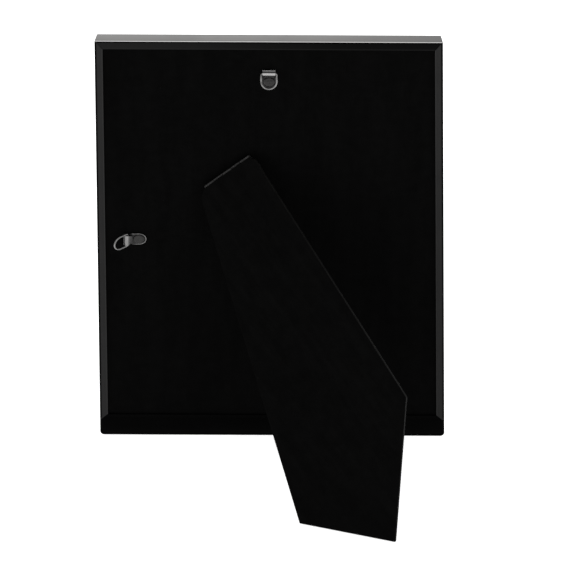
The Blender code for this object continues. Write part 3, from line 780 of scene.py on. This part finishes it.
# %% [markdown]
# ## Running a geometry tree
#
# The frame's mouldings, the wires and the rivets each follow one rule: a section along a
# path, or a profile round an axis. Geometry Nodes suit such rules, because the sizes stay
# inputs with names. A swept mesh keeps its vertices station by station, and in each station in
# the section's own order, so a vertex's index tells where it belongs.

# %% A geometry tree with named inputs
SHARP_ANGLE = math.radians(32.0)


class GrowthTree(Bench):
    """A geometry tree with named inputs that ends in Realize Instances and Set Material."""

    def __init__(self, name, inputs):
        group = bpy.data.node_groups.new(name, "GeometryNodeTree")
        super().__init__(group)
        sockets = group.interface
        sockets.new_socket("Geometry", in_out="INPUT", socket_type="NodeSocketGeometry")
        for label, kind in inputs:
            sockets.new_socket(label, in_out="INPUT", socket_type=kind)
        sockets.new_socket("Material", in_out="INPUT", socket_type="NodeSocketMaterial")
        sockets.new_socket("Geometry", in_out="OUTPUT", socket_type="NodeSocketGeometry")
        self.given = self.node("NodeGroupInput").outputs

    def lent(self, label):
        """The points that the object in a named input lends."""
        return self.socket("GeometryNodeObjectInfo", "Geometry", None,
                           {"Object": self.given[label]})

    def curve(self, mesh):
        """The curve along a mesh's edges."""
        return self.socket("GeometryNodeMeshToCurve", 0, None, {"Mesh": mesh})

    def swept(self, route, section, caps):
        """A section carried along a route; caps close both ends."""
        return self.socket("GeometryNodeCurveToMesh", 0, None,
                           {"Curve": route, "Profile Curve": section, "Fill Caps": caps})

    def rows(self, section):
        """Each swept vertex's number along the route, and its number in the section."""
        size = self.value("GeometryNodeAttributeDomainSize", "Point Count", None,
                          {"Geometry": section})
        index = self.value("GeometryNodeInputIndex", 0)
        return (index / size).floor(), index % size

    def sampled(self, geometry, row, attribute=None, kind="FLOAT_VECTOR"):
        """The place of the point with that number, or its named attribute."""
        field = (self.socket("GeometryNodeInputNamedAttribute", 0, {"data_type": kind},
                             {"Name": attribute}) if attribute
                 else self.socket("GeometryNodeInputPosition", 0))
        return self.socket("GeometryNodeSampleIndex", 0, {"data_type": kind},
                           {"Geometry": geometry, "Value": field, "Index": row})

    def finish(self, shape):
        """Smooth every face, keep real corners sharp, realize and set the material."""
        smooth = self.socket("GeometryNodeSetShadeSmooth", 0, {"domain": "FACE"},
                             {"Geometry": shape, "Shade Smooth": True})
        bend = self.value("GeometryNodeInputMeshEdgeAngle", "Unsigned Angle")
        corner = bend.maths("GREATER_THAN", bend, SHARP_ANGLE)
        sharp = self.socket("GeometryNodeSetShadeSmooth", 0, {"domain": "EDGE"},
                            {"Geometry": smooth, "Selection": corner, "Shade Smooth": False})
        real = self.socket("GeometryNodeRealizeInstances", 0, None, {"Geometry": sharp})
        done = self.socket("GeometryNodeSetMaterial", 0, None,
                           {"Geometry": real, "Material": self.given["Material"]})
        self.node("NodeGroupOutput", None, {"Geometry": done})
        return self.tree


print(f"edges over {math.degrees(SHARP_ANGLE):.0f} degrees stay sharp")

# %% [markdown]
# ## From a host mesh to a piece
#
# A host mesh carries the path and its attributes. The tree grows the piece from it, the result
# becomes a plain mesh, and the modifier goes away. Growing may leave a shell inside out, so its
# faces are turned outward afterwards.

# %% Grow a piece from a host mesh
MERGE = 0.000002


def turn_outward(mesh):
    """Merge doubles and point every face outward."""
    bm = bmesh.new()
    bm.from_mesh(mesh)
    bmesh.ops.remove_doubles(bm, verts=bm.verts, dist=MERGE)
    bmesh.ops.recalc_face_normals(bm, faces=bm.faces)
    bm.to_mesh(mesh)
    bm.free()


def plain_mesh(piece):
    """Keep what the piece's modifiers make as its own mesh, with its faces outward."""
    graph = bpy.context.evaluated_depsgraph_get()
    made = bpy.data.meshes.new_from_object(piece.evaluated_get(graph), depsgraph=graph)
    piece.modifiers.clear()
    piece.data = made
    turn_outward(made)
    return made


def grow(name, host_mesh, tree, inputs):
    """Run a tree on a host mesh and keep the plain mesh that it grows."""
    piece = added(name, host_mesh)
    modifier = piece.modifiers.new(tree.name, "NODES")
    modifier.node_group = tree
    for item in tree.interface.items_tree:
        if item.item_type == "SOCKET" and item.in_out == "INPUT" and item.name in inputs:
            modifier[item.identifier] = inputs[item.name]
    grown = plain_mesh(piece)
    grown.name = name
    print(name, "grew", len(grown.polygons), "faces")
    return piece


def drawn(name, points, closed=False):
    """Hidden helper: points joined one after another, used as a section or a path."""
    mesh = bpy.data.meshes.new(name)
    count = len(points)
    edges = [(i, i + 1) for i in range(count - 1)] + ([(count - 1, 0)] if closed else [])
    mesh.from_pydata(points, edges, [])
    return mesh


def note(mesh, name, values, kind="FLOAT_VECTOR"):
    """Write one value for each point into a named attribute."""
    layer = mesh.attributes.new(name, kind, "POINT")
    field = "vector" if kind == "FLOAT_VECTOR" else "value"
    flat = [part for value in values for part in value] if field == "vector" else list(values)
    layer.data.foreach_set(field, flat)


print("growth tools ready")

# %% [markdown]
# ## The mouldings: one section along a mitred path
#
# Rails, rims and the mat's bevels are the frame's main rule: a section that runs round the
# panel and is mitred where two pieces meet. A plain sweep pinches at such corners. Here each
# point of the path also knows which way an inset moves at that corner: one direction inside the
# rounded corner and one beyond its radius. A third one shifts the inner edge alone, where a
# piece is broader than its neighbours. The tree lays every vertex by its own index from those,
# so mitres and rounded corners come out exact.

# %% The moulding tree
def section_object(name, points, closed=True):
    """Object in no collection, which only lends its points to a tree."""
    return bpy.data.objects.new(name, drawn(name, points, closed))


def moulding_tree():
    tree = GrowthTree("moulding", [("Section", "NodeSocketObject"),
                                   ("Corner Radius", "NodeSocketFloat"),
                                   ("Out", "NodeSocketVector")])
    section, path = tree.lent("Section"), tree.given["Geometry"]
    skin = tree.swept(tree.curve(path), tree.curve(section), True)
    station, corner = tree.rows(section)
    inset, out, _ = tree.parts(tree.sampled(section, corner))
    edge = Value(tree, tree.sampled(section, corner, "inner_edge", "FLOAT"))
    radius = Value(tree, tree.given["Corner Radius"])
    place = tree.sampled(path, station)
    for way, amount in ((tree.sampled(path, station, "outer_way"), inset.least(radius)),
                        (tree.sampled(path, station, "inner_way"), (inset - radius).most(0.0)),
                        (tree.sampled(path, station, "edge_shift"), edge),
                        (tree.given["Out"], out)):
        moved = tree.socket("ShaderNodeVectorMath", 0, {"operation": "SCALE"},
                            {0: way, "Scale": amount})
        place = tree.socket("ShaderNodeVectorMath", 0, {"operation": "ADD"},
                            {0: place, 1: moved})
    marked = tree.socket("GeometryNodeStoreNamedAttribute", 0, {"data_type": "FLOAT"},
                         {"Geometry": skin, "Name": "inner_edge", "Value": edge})
    laid = tree.socket("GeometryNodeSetPosition", 0, None,
                       {"Geometry": marked, "Position": place})
    return tree.finish(laid)


moulding = moulding_tree()
print("moulding tree:", len(moulding.nodes), "nodes")

# %% [markdown]
# ## Sections of the rail, the rim and the mat's bevel
#
# The rail is a thin angle with a rounded front edge. In the photograph a thin bright line and
# then a thin black one run between its top face and the rim. So the rail's wall ends in a
# narrow lip that reaches the back, and a groove parts it from the rim. The rim is a flat bar
# with a lip of its own that plugs into the rail.

# %% Draw the sections
def arc(centre, radius, start, end, steps):
    """Points round a centre from one angle to another, in degrees."""
    points = []
    for i in range(steps + 1):
        turn = math.radians(start + (end - start) * i / steps)
        points.append((centre[0] + radius * math.cos(turn), centre[1] + radius * math.sin(turn)))
    return points


SOFT_EDGE = 0.00012
RIM_EDGE = 0.00025
# The rails' finish paints the lip's back edge and the groove's floor as well: a painted highlight
# on the top lip, painted shade on the other lips and in the groove.
BACK_LIP, GROOVE = 0.00024, 0.00090


def rail_outline():
    """Insets and depths from the front, round the angle's section."""
    back = FRAME_DEPTH - RIM_THICK - GAP
    return (arc((RAIL_TAPER + RAIL_ROUND, RAIL_ROUND), RAIL_ROUND, 180, 270, 12)
            + arc((RAIL_FACE - SOFT_EDGE, SOFT_EDGE), SOFT_EDGE, -90, 0, 4)
            + [(RAIL_FACE, RAIL_FACE_THICK), (RAIL_WALL, RAIL_FACE_THICK), (RAIL_WALL, back),
               (BACK_LIP, back)]
            + arc((BACK_LIP - SOFT_EDGE, FRAME_DEPTH - SOFT_EDGE), SOFT_EDGE, 0, 90, 4)
            + arc((SOFT_EDGE, FRAME_DEPTH - SOFT_EDGE), SOFT_EDGE, 90, 180, 4))


def rim_outline():
    """The same round the rim's flat bar and its lip."""
    front = FRAME_DEPTH - RIM_THICK
    lip = RAIL_WALL + GAP
    start = BACK_LIP + GROOVE
    return ([(start, front), (lip, front), (lip, front - LIP_DEPTH),
             (lip + LIP_THICK, front - LIP_DEPTH), (lip + LIP_THICK, front)]
            + arc((RIM_WIDTH - RIM_EDGE, front + RIM_EDGE), RIM_EDGE, -90, 0, 3)
            + arc((RIM_WIDTH - RIM_EDGE, FRAME_DEPTH - RIM_EDGE), RIM_EDGE, 0, 90, 3)
            + arc((start + RIM_EDGE, FRAME_DEPTH - RIM_EDGE), RIM_EDGE, 90, 180, 3))


def moulding_section(name, outline, edge_from=math.inf):
    """Section with points (inset, y); those beyond edge_from belong to the inner edge."""
    made = section_object(name, [(inset, depth - FRAME_DEPTH, 0.0) for inset, depth in outline])
    note(made.data, "inner_edge", [float(inset > edge_from) for inset, _ in outline], "FLOAT")
    return made


MAT_BACK, BEVEL_REACH = MAT_FRONT + MAT_THICK, MAT_THICK
rail_section = moulding_section("rail_section", rail_outline(), BACK_LIP * 0.99)
rim_section = moulding_section("rim_section", rim_outline(), RIM_WIDTH - RIM_EDGE * 1.5)
bevel_section = moulding_section("bevel_section", [(0.0, MAT_FRONT), (BEVEL_REACH, MAT_BACK),
                                                   (0.0, MAT_BACK)])
print("sections:", len(rail_section.data.vertices), "and", len(rim_section.data.vertices), "points")

# %% [markdown]
# ## Paths round the panel
#
# A straight piece needs two stations, one at each mitre. The base needs twenty: both up-turned
# ends and nine on each rounded corner. Each station is written in panel coordinates as its
# place and its two ways inward. Two pieces stand apart by the gap, measured square to their
# mitre, so each end steps back by MITRE along its edge.

# %% Lay the stations of every moulding
MITRE = GAP / math.sqrt(2.0)
CORNER_STEPS = 8


def upright_stations(side):
    """From the base's mitre to the top's; side is -1 or 1 along x."""
    low = ((side * half_width, BASE_RISE + MITRE), (-side, 1), (-side, 1))
    high = ((side * half_width, FRAME_HEIGHT - MITRE), (-side, -1), (-side, -1))
    return [low, high]


def top_stations():
    reach = half_width - MITRE
    return [((-reach, FRAME_HEIGHT), (1, -1), (1, -1)), ((reach, FRAME_HEIGHT), (-1, -1), (-1, -1))]


def base_stations():
    """Up-turned end, rounded corner, and the same mirrored."""
    def end(side):
        return (side * half_width, BASE_RISE - MITRE), (-side, 1), (-side, 1)

    def corner(side, step):
        turn = math.pi / 2 * step / CORNER_STEPS
        cosine, sine = math.cos(turn), math.sin(turn)
        place = (side * (half_width - BASE_ROUND * (1 - cosine)), BASE_ROUND * (1 - sine))
        return place, (-side * cosine, sine), (-side, 1)
    steps = range(CORNER_STEPS + 1)
    return ([end(-1)] + [corner(-1, step) for step in steps]
            + [corner(1, step) for step in reversed(steps)] + [end(1)])


paths = {"left": upright_stations(-1), "right": upright_stations(1), "top": top_stations(),
         "bottom": base_stations()}
print("stations:", {name: len(stations) for name, stations in paths.items()})

# %% [markdown]
# The rims share the rails' stations, but two of them are broader than a side rim. So each
# station also says how far its inner edge is shifted. Then a path is turned into the world as a
# host mesh, with the ways and the shifts as attributes of its points.

# %% Shift the inner edges and make the host meshes
def base_shifts(stations):
    """The base rim is a broad band: its inner edge runs straight between the mitres."""
    high = BASE_RISE + RIM_WIDTH - MITRE
    reach = half_width - RIM_WIDTH
    shifts = []
    for number, (place, outer, inner) in enumerate(stations):
        side = -1 if number < len(stations) / 2 else 1
        rest = [place[i] + outer[i] * BASE_ROUND + inner[i] * (RIM_WIDTH - BASE_ROUND)
                for i in (0, 1)]
        shifts.append((side * reach - rest[0], high - rest[1]))
    return shifts


def rim_shifts(hand, stations):
    """How far each station's inner edge moves, so that the broader top rim meets the sides."""
    if hand == "bottom":
        return base_shifts(stations)
    lowered = (0.0, -TOP_RIM_EXTRA)
    return [lowered if hand == "top" else (0.0, 0.0), lowered]


def host_path(name, stations, shifts=None):
    """Host mesh of one moulding, turned from panel coordinates into the world."""
    turn = panel.to_3x3()
    mesh = drawn(name, [panel @ Vector((x, 0.0, z)) for (x, z), _, _ in stations])
    for label, column in (("outer_way", 1), ("inner_way", 2)):
        note(mesh, label, [turn @ Vector((s[column][0], 0.0, s[column][1])) for s in stations])
    shifts = shifts or [(0.0, 0.0)] * len(stations)
    note(mesh, "edge_shift", [turn @ Vector((x, 0.0, z)) for x, z in shifts])
    return mesh


print(f"the top rim is {TOP_RIM_EXTRA / MILLIMETRE:.1f} mm broader than a side rim")

# %% [markdown]
# ## The rails and the rims
#
# Every side gets a rail and a rim from the same path. Only the sections, the finishes and the
# shifts differ, so one loop makes all eight.

# %% Grow the rails and the rims
def mould(name, stations, outline, material, slot, shifts=None):
    piece = grow(name, host_path(name + "_path", stations, shifts), moulding,
                 {"Section": outline, "Corner Radius": BASE_ROUND, "Out": OUT,
                  "Material": material})
    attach(piece, "frame")
    return piece


rail_finishes = {"left": rail_side_finish, "right": rail_side_finish, "top": rail_top_finish,
                 "bottom": rail_base_finish}
rim_finishes = {"left": rim_side_finish, "right": rim_side_finish, "top": rim_top_finish,
                "bottom": base_finish}
for hand, stations in paths.items():
    rail = mould("moulded_rail_" + hand, stations, rail_section, rail_finishes[hand], "rail")
    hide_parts("rail_" + hand)
    rim = mould("moulded_rim_" + hand, stations, rim_section, rim_finishes[hand],
                "base" if hand == "bottom" else "rim", rim_shifts(hand, stations))
    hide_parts("rim_" + hand)

# %% [markdown]
# ## Bevels of the mat
#
# A mat cutter leaves a white slope round each window. The four windows are closed paths for
# the same tree, with a three-cornered section, and one piece holds all four.

# %% Grow the bevels round the windows
def window_path(name):
    """Four closed loops in one host mesh, with the ways toward each window's middle."""
    corners = ((-1, -1), (1, -1), (1, 1), (-1, 1))
    places, ways, edges = [], [], []
    turn = panel.to_3x3()
    for column in (-1, 1):
        for row in (-1, 1):
            first = len(places)
            for x, z in corners:
                across = column * COLUMN_PITCH / 2 + x * WINDOW_WIDTH / 2
                up = FRAME_HEIGHT / 2 + row * ROW_PITCH / 2 + z * WINDOW_HEIGHT / 2
                places.append(panel @ Vector((across, 0.0, up)))
                ways.append(turn @ Vector((-x, 0.0, -z)))
            edges += [(first + i, first + (i + 1) % len(corners)) for i in range(len(corners))]
    mesh = bpy.data.meshes.new(name)
    mesh.from_pydata(places, edges, [])
    for label in ("outer_way", "inner_way"):
        note(mesh, label, ways)
    note(mesh, "edge_shift", [Vector()] * len(places))
    return mesh


bevels = grow("mat_bevels", window_path("window_path"), moulding,
              {"Section": bevel_section, "Corner Radius": BASE_ROUND, "Out": OUT,
               "Material": mat_core})
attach(bevels, "frame")

# %% [markdown]
# ## Wires and rivets
#
# A ring is a round wire along a D. A rivet is a profile turned about an axis and set down
# wherever one is needed. Both are small trees of their own: the wire tree sweeps a circle,
# the rivet tree lays a profile's points round an axis by their index and puts a copy on every
# point of its host, turned to that point's own direction.

# %% The wire tree and the rivet tree
def wire_tree():
    tree = GrowthTree("wire", [("Wire Radius", "NodeSocketFloat"), ("Sides", "NodeSocketInt")])
    circle = tree.socket("GeometryNodeCurvePrimitiveCircle", 0, None,
                         {"Resolution": tree.given["Sides"],
                          "Radius": tree.given["Wire Radius"]})
    return tree.finish(tree.swept(tree.curve(tree.given["Geometry"]), circle, True))


def rivet_tree():
    tree = GrowthTree("rivet", [("Profile", "NodeSocketObject"), ("Steps", "NodeSocketInt")])
    profile = tree.lent("Profile")
    circle = tree.socket("GeometryNodeCurvePrimitiveCircle", 0, None,
                         {"Resolution": tree.given["Steps"]})
    skin = tree.swept(circle, tree.curve(profile), False)
    step, point = tree.rows(profile)
    turn = step / Value(tree, tree.given["Steps"]) * math.tau
    radius, height, _ = tree.parts(tree.sampled(profile, point))
    place = tree.joined(radius * turn.cosine(), radius * turn.sine(), height)
    laid = tree.socket("GeometryNodeSetPosition", 0, None, {"Geometry": skin, "Position": place})
    marked = tree.socket("GeometryNodeStoreNamedAttribute", 0, {"data_type": "FLOAT"},
                         {"Geometry": laid, "Name": "turned_radius", "Value": radius})
    closed = tree.socket("GeometryNodeMergeByDistance", 0, None,
                         {"Geometry": marked, "Distance": MERGE})
    way = tree.socket("GeometryNodeInputNamedAttribute", 0, {"data_type": "FLOAT_VECTOR"},
                      {"Name": "head_way"})
    aim = tree.socket("FunctionNodeAlignRotationToVector", 0, {"axis": "Z"}, {"Vector": way})
    spots = tree.socket("GeometryNodeMeshToPoints", 0, None, {"Mesh": tree.given["Geometry"]})
    copies = tree.socket("GeometryNodeInstanceOnPoints", 0, None,
                         {"Points": spots, "Instance": closed, "Rotation": aim})
    solid = tree.socket("GeometryNodeRealizeInstances", 0, None, {"Geometry": copies})
    return tree.finish(solid)


wire, rivet = wire_tree(), rivet_tree()
print("wire tree:", len(wire.nodes), "nodes; rivet tree:", len(rivet.nodes), "nodes")

# %% [markdown]
# ## The hangers
#
# Each hanger is a folded strap, a wide rivet and a D-ring that swings in the fold, held there
# by friction. The top ring hangs over its strap, the side ring stands away from its own. Their
# seats are placed by the joints, and a seat's y runs along the strap's tongue. A ring's angle
# is how far it is lifted from lying flat on the side away from the tongue.

# %% Seats of the hangers and their D-rings
WIRE_RADIUS, WIRE_SIDES = 0.00055, 20
RING_WIDTH, RING_LENGTH, RING_CORNER = 0.0110, 0.0104, 0.00085
RING_ANGLES = {"top": math.radians(150.0), "side": math.radians(36.0)}


def seat(joint, tongue):
    """x across the strap, y along its tongue, z out of the board, origin on the ring's axis."""
    place = Vector(joints[joint]["pos_m"])
    return turned_frame(tongue.cross(OUT), tongue, OUT, place)


def ring_path(name, matrix):
    """A closed D: straight bar on the axis, rounded corners, half-round bow toward -y."""
    half = RING_WIDTH / 2 - WIRE_RADIUS
    bow = RING_LENGTH - WIRE_RADIUS - half
    flat = half - RING_CORNER
    points = arc((flat, -RING_CORNER), RING_CORNER, 90, 0, 6)
    points += arc((0.0, -bow), half, 0, -180, 36)
    points += arc((-flat, -RING_CORNER), RING_CORNER, 180, 90, 6)
    return drawn(name, [matrix @ Vector((x, y, 0.0)) for x, y in points], closed=True)


seats = {"top": seat("top_ring_hinge", -UP), "side": seat("side_ring_hinge", -ACROSS)}
for hand, angle in RING_ANGLES.items():
    turned = seats[hand] @ Matrix.Rotation(-angle, 4, "X")
    ring = grow(f"{hand}_ring_wire", ring_path(f"{hand}_ring_path", turned), wire,
                {"Wire Radius": WIRE_RADIUS, "Sides": WIRE_SIDES, "Material": wire_zinc})
    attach(ring, f"{hand}_ring")
    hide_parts(f"{hand}_hanger_ring")

# %% [markdown]
# ## The folded straps
#
# A strap is a band of sheet metal: a round-ended tongue, a long loop round the ring's bar, and
# a short flap that comes back down. The solid has the same folds with flat facets; here the
# band has finer ones and a crease pressed over the loop. It could be a bent plane with a
# thickness, but the crease lies in the outer face alone, so each station of the fold gives its
# inner point, its outer point, its half width and how much painted highlight it carries.

# %% Stations of the fold
STRAP_THICK = 0.0005
TONGUE_HALF, TONGUE_LENGTH, TONGUE_START = 0.0045, 0.0121, 0.0027
TONGUE_TURNS = (86, 78, 68, 57, 46, 35, 23, 11, 0)
NECK_HALF, NECK_END = 0.0041, 0.0018
LOOP_STRETCH, LOOP_INNER, LOOP_STEP = 0.0012, WIRE_RADIUS + GAP, 6
CREST_REACH, CREST_SINK, CREST_HIGHLIGHT = (0.00022, 0.00035), 0.98, 0.9
SLOPE_INNER_Z, SLOPE_OUTER, SLOPE_HIGHLIGHT = 0.0002, (0.00135, 0.00078), 0.15
FLAP_HALF, FLAP_LENGTH, FLAP_BEND, FLAP_HIGHLIGHT = 0.0029, 0.0031, (0.75, 0.85), (0.05, 0.1)
CREASE_TURN, CREASE_SPREAD, CREASE_DEPTH = 134.0, 26.0, 0.00034
TONGUE_TOP = -LOOP_INNER
# Painted highlight of each strap's loop and fold; the top strap gets the stronger one.
STRAP_HIGHLIGHT = {"top": (1.0, 1.0), "side": (0.10, 0.60)}


def loop_stations(loop_highlight, fold_highlight):
    """Stations round the loop; the crease is a dip in the outer face over a few degrees."""
    stations = []
    for turn in range(0, 181, LOOP_STEP):
        y, z = -math.sin(math.radians(turn)), -math.cos(math.radians(turn))
        dip = math.exp(-((turn - CREASE_TURN) / CREASE_SPREAD) ** 2)
        reach = LOOP_INNER + STRAP_THICK - CREASE_DEPTH * dip
        # Painted highlight on the loop and on the fold, none in the crease.
        bright = loop_highlight if turn < CREASE_TURN else fold_highlight
        stations.append(((LOOP_INNER * y - LOOP_STRETCH, LOOP_INNER * z),
                         (reach * y - LOOP_STRETCH, reach * z), NECK_HALF,
                         bright * max(0.0, 1.0 - 2.0 * dip)))
    return stations


def strap_stations(loop_highlight, fold_highlight):
    """All stations, from the tongue's end to the flap's."""
    under = TONGUE_TOP - STRAP_THICK
    middle = TONGUE_LENGTH - TONGUE_HALF
    stations = []
    for turn in TONGUE_TURNS:
        spread = math.radians(turn)
        y = middle + TONGUE_HALF * math.sin(spread)
        stations.append(((y, TONGUE_TOP), (y, under), TONGUE_HALF * math.cos(spread), 0.0))
    for y, half in ((TONGUE_START, TONGUE_HALF), (NECK_END, NECK_HALF)):
        stations.append(((y, TONGUE_TOP), (y, under), half, 0.0))
    stations += loop_stations(loop_highlight, fold_highlight)
    over = LOOP_INNER + STRAP_THICK
    low = TONGUE_TOP + GAP
    high = low + STRAP_THICK
    bend_inner, bend_outer = [FLAP_LENGTH * share for share in FLAP_BEND]
    crest = [((0.0, LOOP_INNER), (0.0, over), NECK_HALF, fold_highlight),
             ((CREST_REACH[0], LOOP_INNER * CREST_SINK), (CREST_REACH[1], over * CREST_SINK),
              NECK_HALF, fold_highlight * CREST_HIGHLIGHT)]
    slope = [((bend_inner / 2, SLOPE_INNER_Z), SLOPE_OUTER, (NECK_HALF + FLAP_HALF) / 2,
              SLOPE_HIGHLIGHT)]
    flap = [((bend_inner, low), (bend_outer, high), FLAP_HALF, FLAP_HIGHLIGHT[0]),
            ((FLAP_LENGTH, low), (FLAP_LENGTH, high), FLAP_HALF, FLAP_HIGHLIGHT[1])]
    return stations + crest + slope + flap


print("stations of a strap:", len(strap_stations(*STRAP_HIGHLIGHT["top"])))

# %% [markdown]
# The stations are joined into a band, and a Bevel modifier rounds its edges, so that they
# catch the light. A point carries how much painted highlight it has, and whether it lies on the
# matt part on top of the loop.

# %% Fold the straps
STRAP_EDGE, STRAP_CORNER = 0.00012, math.radians(50.0)
MATT_BEYOND, MATT_UNDER = -0.0015, 0.00065


def folded_strap(name, matrix, highlights):
    """Loft the stations, four corners each, into a band and round its edges."""
    mesh = bpy.data.meshes.new(name)
    corners, highlight_amounts, dullness = [], [], []
    for (inner_y, inner_z), (outer_y, outer_z), half, rubbed in strap_stations(*highlights):
        for x, y, z in ((-half, inner_y, inner_z), (half, inner_y, inner_z),
                        (half, outer_y, outer_z), (-half, outer_y, outer_z)):
            corners.append(matrix @ Vector((x, y, z)))
            highlight_amounts.append(rubbed)
            dullness.append(float(outer_y < MATT_BEYOND and outer_z < MATT_UNDER))
    faces = [(0, 1, 2, 3), tuple(range(len(corners) - 4, len(corners)))]
    for first in range(0, len(corners) - 4, 4):
        faces += [(first + i, first + (i + 1) % 4, first + 4 + (i + 1) % 4, first + 4 + i)
                  for i in range(4)]
    mesh.from_pydata(corners, [], faces)
    note(mesh, "rubbed", highlight_amounts, "FLOAT")
    note(mesh, "matt", dullness, "FLOAT")
    mesh.materials.append(strap_zinc)
    piece = added(name, mesh)
    rounding = piece.modifiers.new("rounding", "BEVEL")
    rounding.width, rounding.segments = STRAP_EDGE, 2
    rounding.limit_method, rounding.angle_limit = "ANGLE", STRAP_CORNER
    band = plain_mesh(piece)
    band.polygons.foreach_set("use_smooth", [True] * len(band.polygons))
    band.set_sharp_from_angle(angle=SHARP_ANGLE)
    print(name, "has", len(band.polygons), "faces")
    return piece


for hand, matrix in seats.items():
    strap = folded_strap(f"{hand}_strap", matrix, STRAP_HIGHLIGHT[hand])
    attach(strap, "frame")
    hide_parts(f"{hand}_hanger_strap")

# %% [markdown]
# The strap's tongue is stamped with a raised rim that runs round its end. It follows a path,
# so it is a half-sunk wire from the same tree. The top one gets a darker copy of the zinc, painted
# shade for the top ring's shadow over it.

# %% Raised rims on the tongues
BEAD_RADIUS, BEAD_SIDES, BEAD_INSET, BEAD_START = 0.00026, 12, 0.00030, 0.0031
BEAD_FINISH = {"top": dull_zinc, "side": zinc}


def tongue_rim(name, matrix):
    reach = TONGUE_HALF - BEAD_INSET
    middle = TONGUE_LENGTH - TONGUE_HALF
    outline = [(reach, BEAD_START)] + arc((0.0, middle), reach, 0, 180, 28)
    outline.append((-reach, BEAD_START))
    return drawn(name, [matrix @ Vector((x, y, TONGUE_TOP)) for x, y in outline])


for hand, matrix in seats.items():
    bead = grow(f"{hand}_strap_rim", tongue_rim(f"{hand}_rim_path", matrix), wire,
                {"Wire Radius": BEAD_RADIUS, "Sides": BEAD_SIDES,
                 "Material": BEAD_FINISH[hand]})
    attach(bead, "frame")

# %% [markdown]
# ## Rivet heads
#
# The hanger rivets are wide and shallow with a ring turned into the face and a dimple in the
# middle. The profile gives radius and height in millimetres. It runs from the axis on the face
# to the axis under the shank, so a turned rivet is closed.

# %% Turn the rivets and set them down
HANGER_PROFILE = [(0.0, 0.42), (0.45, 0.44), (0.70, 0.60), (1.00, 0.68), (1.30, 0.70),
                  (1.50, 0.61), (1.70, 0.61), (1.95, 0.70), (2.75, 0.68), (3.10, 0.58),
                  (3.38, 0.41), (3.55, 0.20), (3.60, 0.06), (3.55, 0.0), (0.9, 0.0), (0.9, -1.7),
                  (0.6, -1.9), (0.0, -1.9)]
RIVET_REACH, RIVET_STEPS = 0.0073, 32


def rivet_spots(name):
    """A point for each hanger's rivet, with the way its head faces."""
    spots = bpy.data.meshes.new(name)
    place = Vector((0.0, RIVET_REACH, GAP + TONGUE_TOP))
    spots.from_pydata([matrix @ place for matrix in seats.values()], [], [])
    note(spots, "head_way", [OUT] * len(seats))
    return spots


profile = section_object("hanger_profile", [(radius * MILLIMETRE, height * MILLIMETRE, 0.0)
                                            for radius, height in HANGER_PROFILE], False)
rivets = grow("hanger_rivets", rivet_spots("hanger_rivets_spots"), rivet,
              {"Profile": profile, "Steps": RIVET_STEPS, "Material": rivet_metal})
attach(rivets, "frame")
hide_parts("top_hanger_rivet", "side_hanger_rivet")

# %% [markdown]
# ## The leg
#
# The leg is fibreboard in velour, but its cut edge is bare dyed board and catches more light
# than the pile: in the photograph the long right edge is its brightest line. So the leg takes
# two finishes, and each face gets one by the way it looks.

# %% Dress the leg in two finishes
BROAD_COSINE = 0.5


def leg_in_two_finishes():
    """Velour on the faces that look out of the leg or back, bare board on the others."""
    mesh = frame["nodes"]["leg_board"].data.copy()
    turn_outward(mesh)
    mesh.materials.clear()
    for material in (leg_velour, leg_edge):
        mesh.materials.append(material)
    for face in mesh.polygons:
        face.material_index = 0 if abs(face.normal.dot(leg_out)) > BROAD_COSINE else 1
    piece = added("leg_skin", mesh)
    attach(piece, "leg")
    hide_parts("leg_board")
    return piece


leg_skin = leg_in_two_finishes()
print("leg:", len(leg_skin.data.polygons), "faces")

# %% [markdown]
# ## The floor and the helpers
#
# The floor gets its plain finish, and the helper sections go away.

# %% Finish the floor and clear away the helpers
def floor_finish():
    finish = Finish("studio_floor", Matrix.Identity(4))
    cloud = finish.noise(3.0, 2.0)
    colour = finish.blend(cloud, grey(0.90), grey(0.93))
    return finish.cover({"Base Color": colour, "Roughness": 0.9, "Specular IOR Level": 0.1,
                         "Emission Color": WHITE, "Emission Strength": FLOOR_GLOW})


floor.data.materials.append(floor_finish())
for helper in [obj for obj in bpy.data.objects if not obj.users_collection]:
    bpy.data.objects.remove(helper)
